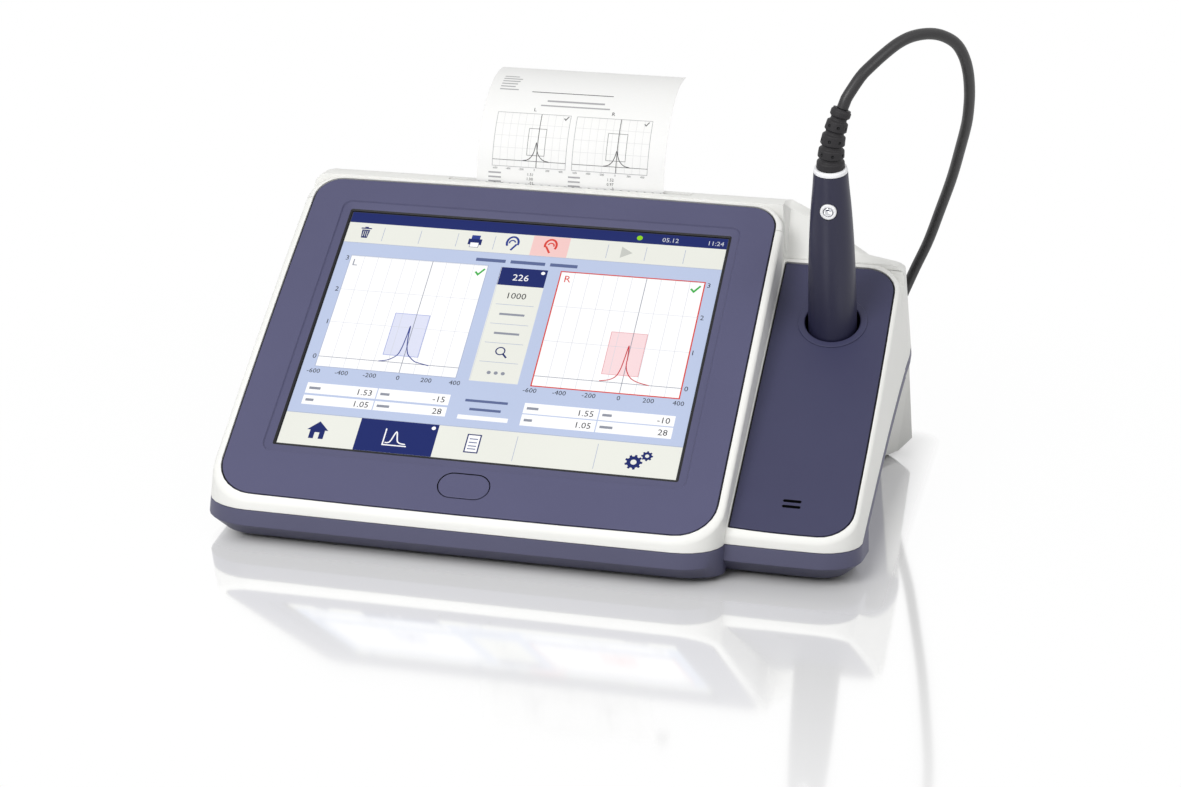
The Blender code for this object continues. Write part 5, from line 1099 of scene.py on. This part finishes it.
paper = {
    "centreX": -19.167, "half": 53.0, "plane": 61.25, "slot": 150.815, "low": -14.0, "curl": 52.797, "turn": 93.478,
    "thick": 0.25, "rows": 60, "columns": 56, "tear": 0.45, "printLift": 0.05, "printLayer": 0.02, "piece": 2.0,
    "graphs": (
        {"box": (-44.2, 9.0, -2.6, 39.8), "zero": -19.2, "base": 12.5, "rect": (-24.9, 15.7, -15.0, 30.8),
         "peak": (-19.9, 22.7), "tick": (-5.0, 38.0), "mark": ("L", -23.5, 42.6)},
        {"box": (1.0, 9.0, 43.5, 39.6), "zero": 25.9, "base": 12.4, "rect": (19.9, 15.6, 30.8, 30.8),
         "peak": (25.8, 21.2), "tick": (40.4, 37.6), "mark": ("R", 20.9, 42.7)}),
    "values": ((-46.2, -39.0, -20.7, ("1.51", "1.00", "-21")), (-0.8, 6.0, 25.0, ("1.52", "0.97", "-3"))),
    "valueRows": (5.2, 2.7, 0.3),
}


def onPaper(x, s, lift):
    # x across the strip, s along it from the slot, lift above its middle: in the frame's millimetres
    turn = max(s, 0) / paper["curl"]
    reach = paper["curl"] + lift
    return (x + paper["centreX"], paper["plane"] + paper["curl"] - reach * cos(turn),
            paper["slot"] + reach * sin(turn) + min(s, 0))


def buildStrip():
    long = radians(paper["turn"]) * paper["curl"]
    points, faces = [], []
    for side in (1, -1):
        for row in range(paper["rows"] + 1):
            s = paper["low"] + (long - paper["low"]) * row / paper["rows"]
            for column in range(paper["columns"] + 1):
                x = -paper["half"] + 2 * paper["half"] * column / paper["columns"]
                tear = paper["tear"] if row == paper["rows"] and column % 2 else 0
                points.append(onPaper(x, s - tear, side * paper["thick"] / 2))
    wide, sheet = paper["columns"] + 1, (paper["columns"] + 1) * (paper["rows"] + 1)
    for row in range(paper["rows"]):
        for column in range(paper["columns"]):
            a = row * wide + column
            faces.append((a, a + 1, a + wide + 1, a + wide))
            faces.append((a + sheet, a + sheet + wide, a + sheet + wide + 1, a + sheet + 1))
    rim = [column for column in range(wide)] + [row * wide + wide - 1 for row in range(1, paper["rows"] + 1)]
    rim += [paper["rows"] * wide + column for column in range(wide - 2, -1, -1)]
    rim += [row * wide for row in range(paper["rows"] - 1, 0, -1)]
    for a, b in zip(rim, rim[1:] + rim[:1]):
        faces.append((b, a, a + sheet, b + sheet))
    strip = makePiece("paperStrip", points, faces, [thermalPaper], intoFrame)
    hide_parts("paper_strip")
    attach(strip, "printer_door")


def drawPrint():
    inks = {"printed": printInk, "pale": paleInk, "faint": faintInk, "dark": darkInk}
    drawing = newDrawing(inks)
    level = [paper["printLift"] + paper["printLayer"] * number for number in range(4)]
    for number in range(6):
        s = 69.0 - number * 2.5
        addRect(drawing, -47.0, s - 0.55, -38.6 + (number * 7 % 4) * 0.8, s + 0.3, level[0], "pale")
    addRect(drawing, -28.1, 55.1, 18.4, 55.6, level[0], "dark")
    addRect(drawing, -17.9, 48.4, 14.7, 49.6, level[0], "pale")
    addRect(drawing, -21.0, 45.2, 18.2, 46.1, level[0], "pale")
    for graph in paper["graphs"]:
        left, low, right, high = graph["box"]
        addBars(drawing, 9, (right - left) / 10, 0.16, high - low, left + (right - left) / 10, (low + high) / 2, True,
                level[0], "faint")
        addBars(drawing, 3, (high - graph["base"]) / 4, 0.16, right - left, (left + right) / 2,
                graph["base"] + (high - graph["base"]) / 4, False, level[0], "faint")
        addFrame(drawing, left, low, right, high, 0.28, level[1], "pale")
        addRect(drawing, graph["zero"] - 0.18, low, graph["zero"] + 0.18, high, level[1], "dark")
        addRect(drawing, left, graph["base"] - 0.15, right, graph["base"] + 0.15, level[1], "printed")
        addFrame(drawing, *graph["rect"], 0.25, level[1], "printed")
        x, top = graph["peak"]
        rise = [(x - 7, graph["base"] + 0.1), (x - 4.4, graph["base"] + 0.7), (x - 2.2, graph["base"] + 2.6),
                (x - 0.9, graph["base"] + 5.6), (x, top), (x + 0.8, graph["base"] + 5.6), (x + 2.2, graph["base"] + 2.8),
                (x + 4.6, graph["base"] + 0.8), (x + 7.6, graph["base"] + 0.1)]
        curve = curvedThrough([Vector((a, b, 0)) for a, b in rise], 5)
        addLine(drawing, [(point.x, point.y) for point in curve], 0.4, level[2], "dark")
        addTick(drawing, *graph["tick"], 2.4, level[2], "printed")
        addDigits(drawing, *graph["mark"], 2.3, level[2], "dark")
        for step in range(6):
            addDigits(drawing, str(-600 + 200 * step), left + (right - left) * (0.04 + 0.18 * step), low - 1.2, 1.1,
                      level[2], "printed")
    for start, end, right, values in paper["values"]:
        for s, value in zip(paper["valueRows"], values):
            addRect(drawing, start, s - 0.45, end, s + 0.45, level[0], "pale")
            addDigits(drawing, value, right, s, 1.6, level[1], "dark", "right")
    return drawing, list(inks.values())


def buildPrint():
    drawing, inks = drawPrint()
    flat = makePiece("paperPrint", drawing["points"], drawing["faces"], inks, None, drawing["slots"], outward=False)
    work = bmesh.new()
    work.from_mesh(flat.data)
    for number in range(int(72 / paper["piece"])):   # long shapes are cut across, so that they follow the curl
        everything = work.verts[:] + work.edges[:] + work.faces[:]
        bmesh.ops.bisect_plane(work, geom=everything, plane_co=(0, number * paper["piece"], 0), plane_no=(0, 1, 0))
    for vertex in work.verts:
        vertex.co = onPaper(vertex.co.x, vertex.co.y, paper["thick"] / 2 + vertex.co.z)
    work.to_mesh(flat.data)
    work.free()
    flat.data.transform(intoFrame)
    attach(flat, "printer_door")


buildStrip()
buildPrint()
print("paper strip made and printed")


# Shells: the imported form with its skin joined, so that broad faces and their rounded edges shade evenly

shells = {
    "upper_frame": ("upperFrame", whiteAbs, "white_shell"),
    "rear_cover": ("rearCover", whiteAbs, "white_shell"),
    # the base's finish carries painted floor light
    "bottom_shell": ("bottomShell", baseAbsWithPaintedFloorLight, "slate_shell"),
}
for nodeName, (pieceName, material, slotName) in shells.items():
    shell = evenShading(mergedCopy(nodeName, pieceName, [material]), 32)
    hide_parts(nodeName)
    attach(shell, "case")
doorSkin = evenShading(mergedCopy("printer_door", "printerDoor", [whiteAbs]), 32)
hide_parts("printer_door")
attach(doorSkin, "printer_door")

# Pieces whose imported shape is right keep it, and get their real finish
finishes = {
    "air_hose": siliconeHose, "button_switch": blackPlasticAndGapShade, "case_screw_left": turnedSteel,
    "case_screw_right": turnedSteel, "cradle_cup": blackPlasticAndGapShade, "display_bracket": rolledSheet,
    "feed_motor": castZinc, "foot_front_left": footRubber, "foot_front_right": footRubber,
    "foot_rear_left": footRubber, "foot_rear_right": footRubber, "hinge_pin": turnedSteel,
    "lcd_module": rolledSheet, "loudspeaker": blackPlasticAndGapShade, "main_board": solderMask,
    "motor_pinion": acetal, "paper_feed": thermalPaper, "paper_roll": thermalPaper, "platen_gear": acetal,
    "platen_roller": rollerRubber, "platen_shaft": turnedSteel, "power_jack": blackPlasticAndGapShade,
    "print_head": castZinc, "printer_well": whiteAbs, "probe_core": solderMask, "probe_nose": probeAbs,
    "probe_socket": nickelPlate, "pump_unit": blackPlasticAndGapShade, "roll_core": grayBoard,
    "roll_spindle": blackPlasticAndGapShade, "tear_bar": turnedSteel, "touch_glass": touchGlass,
    "usb_port": nickelPlate,
}
for nodeName, material in finishes.items():
    for holder in nodes[nodeName].material_slots:
        holder.material = material
print("shells joined and finishes given")


# Floor, room and lamps

stage = {"half": 4.0, "level": -0.0001, "contact": 0.003, "fade": 0.02, "nearShare": 1.0, "farShare": 0.05,
         "endShare": 0.0, "end": 0.3, "mirror": 0.42, "mirrorReach": 0.36, "mirrorRoughness": 0.07,
         "worldLight": 0.56, "inset": (0.03, 0.01), "bounceNear": 0.1, "bounceFar": 0.72, "bounceReach": 0.05}
lamps = ({"name": "keyLamp", "place": (-0.34, -0.95, 0.85), "size": 0.6, "power": 8.6},
         {"name": "fillLamp", "place": (0.9, -0.5, 1.1), "size": 0.8, "power": 4.2})


def floorMaterial():
    # White for the camera, darkened by the object's shadow, with a faint mirror close to it
    material, tree, shader, spots = newMaterial("studioFloorSatin", {"Roughness": 0.8})
    low, high = frameBox[0], Vector((frameBox[1][0], 0.129, 0))
    centre = ((low[0] + high[0]) / 2, (low[1] + high[1]) / 2, 0)
    half = ((high[0] - low[0]) / 2 - stage["inset"][0], (high[1] - low[1]) / 2 - stage["inset"][1], 10)
    away = addNode(tree, "ShaderNodeVectorMath", {"operation": "SUBTRACT", 1: centre}, {0: spots})
    folded = addNode(tree, "ShaderNodeVectorMath", {"operation": "ABSOLUTE"}, {0: away.outputs[0]})
    beyond = addNode(tree, "ShaderNodeVectorMath", {"operation": "SUBTRACT", 1: half}, {0: folded.outputs[0]})
    outside = addNode(tree, "ShaderNodeVectorMath", {"operation": "MAXIMUM", 1: (0, 0, 0)}, {0: beyond.outputs[0]})
    reach = addNode(tree, "ShaderNodeVectorMath", {"operation": "LENGTH"}, {0: outside.outputs[0]}).outputs["Value"]
    near = addNode(tree, "ShaderNodeMapRange", {"From Min": stage["contact"], "From Max": stage["fade"],
                                               "To Min": stage["nearShare"], "To Max": stage["farShare"]},
                   {"Value": reach})
    wide = addNode(tree, "ShaderNodeMapRange", {"From Min": stage["fade"], "From Max": stage["end"],
                                               "To Min": 0, "To Max": stage["farShare"] - stage["endShare"]},
                   {"Value": reach})
    share = addNode(tree, "ShaderNodeMath", {"operation": "SUBTRACT"}, {0: near.outputs[0], 1: wide.outputs[0]})
    shine = addNode(tree, "ShaderNodeMapRange", {"From Max": stage["mirrorReach"], "To Min": stage["mirror"],
                                                "To Max": 0}, {"Value": reach})
    white = addNode(tree, "ShaderNodeEmission", {"Color": (1, 1, 1, 1), "Strength": 1})
    matt = addNode(tree, "ShaderNodeBsdfDiffuse", {"Color": toLinear("#fafafa")})
    gloss = addNode(tree, "ShaderNodeBsdfGlossy", {"Color": (1, 1, 1, 1), "Roughness": stage["mirrorRoughness"]})
    seen = addNode(tree, "ShaderNodeMixShader", {}, {0: share.outputs[0], 1: white.outputs[0], 2: matt.outputs[0]})
    polished = addNode(tree, "ShaderNodeMixShader", {}, {0: shine.outputs[0], 1: seen.outputs[0], 2: gloss.outputs[0]})
    rays = addNode(tree, "ShaderNodeLightPath")
    # For the light it throws back, the floor is painted dark close to the object: a painted shade under the case
    grey = addNode(tree, "ShaderNodeMapRange", {"From Max": stage["bounceReach"], "To Min": stage["bounceNear"],
                                                "To Max": stage["bounceFar"]}, {"Value": reach})
    back = addNode(tree, "ShaderNodeBsdfDiffuse", {}, {"Color": grey.outputs[0]})
    looked = addNode(tree, "ShaderNodeMath", {"operation": "MAXIMUM"},
                     {0: rays.outputs["Is Camera Ray"], 1: rays.outputs["Is Glossy Ray"]})
    either = addNode(tree, "ShaderNodeMath", {"operation": "MAXIMUM"},
                     {0: looked.outputs[0], 1: rays.outputs["Is Transmission Ray"]})
    mix = addNode(tree, "ShaderNodeMixShader", {}, {0: either.outputs[0], 1: back.outputs[0], 2: polished.outputs[0]})
    tree.links.new(mix.outputs[0], tree.nodes["Material Output"].inputs["Surface"])
    tree.nodes.remove(shader)
    return material


def buildStage():
    half, level = stage["half"], stage["level"]
    floor = makePiece("floor", [(-half, -half, level), (half, -half, level), (half, half, level), (-half, half, level)],
                      [(0, 1, 2, 3)], [floorMaterial()], outward=False)
    world = bpy.data.worlds.new("room")
    world.use_nodes = True
    scene.world = world
    tree = world.node_tree
    rays = addNode(tree, "ShaderNodeLightPath")
    looked = addNode(tree, "ShaderNodeMath", {"operation": "MAXIMUM"},
                     {0: rays.outputs["Is Camera Ray"], 1: rays.outputs["Is Glossy Ray"]})
    either = addNode(tree, "ShaderNodeMath", {"operation": "MAXIMUM"},
                     {0: looked.outputs[0], 1: rays.outputs["Is Transmission Ray"]})
    level = addNode(tree, "ShaderNodeMapRange", {"To Min": stage["worldLight"], "To Max": 1.0},
                    {"Value": either.outputs[0]})
    tree.nodes["Background"].inputs["Color"].default_value = (1, 1, 1, 1)
    tree.links.new(level.outputs[0], tree.nodes["Background"].inputs["Strength"])
    for lamp in lamps:
        light = bpy.data.lights.new(lamp["name"], "AREA")
        light.size, light.energy = lamp["size"], lamp["power"]
        holder = bpy.data.objects.new(lamp["name"], light)
        place = Vector(lamp["place"])
        aim = (Vector((0, 0, 0.08)) - place).to_track_quat("-Z", "Y").to_matrix().to_4x4()
        holder.matrix_world = Matrix.Translation(place) @ aim
        scene.collection.objects.link(holder)


buildStage()
scene.view_settings.view_transform = "Standard"
print("stage and lamps placed")

print("all pieces in place")
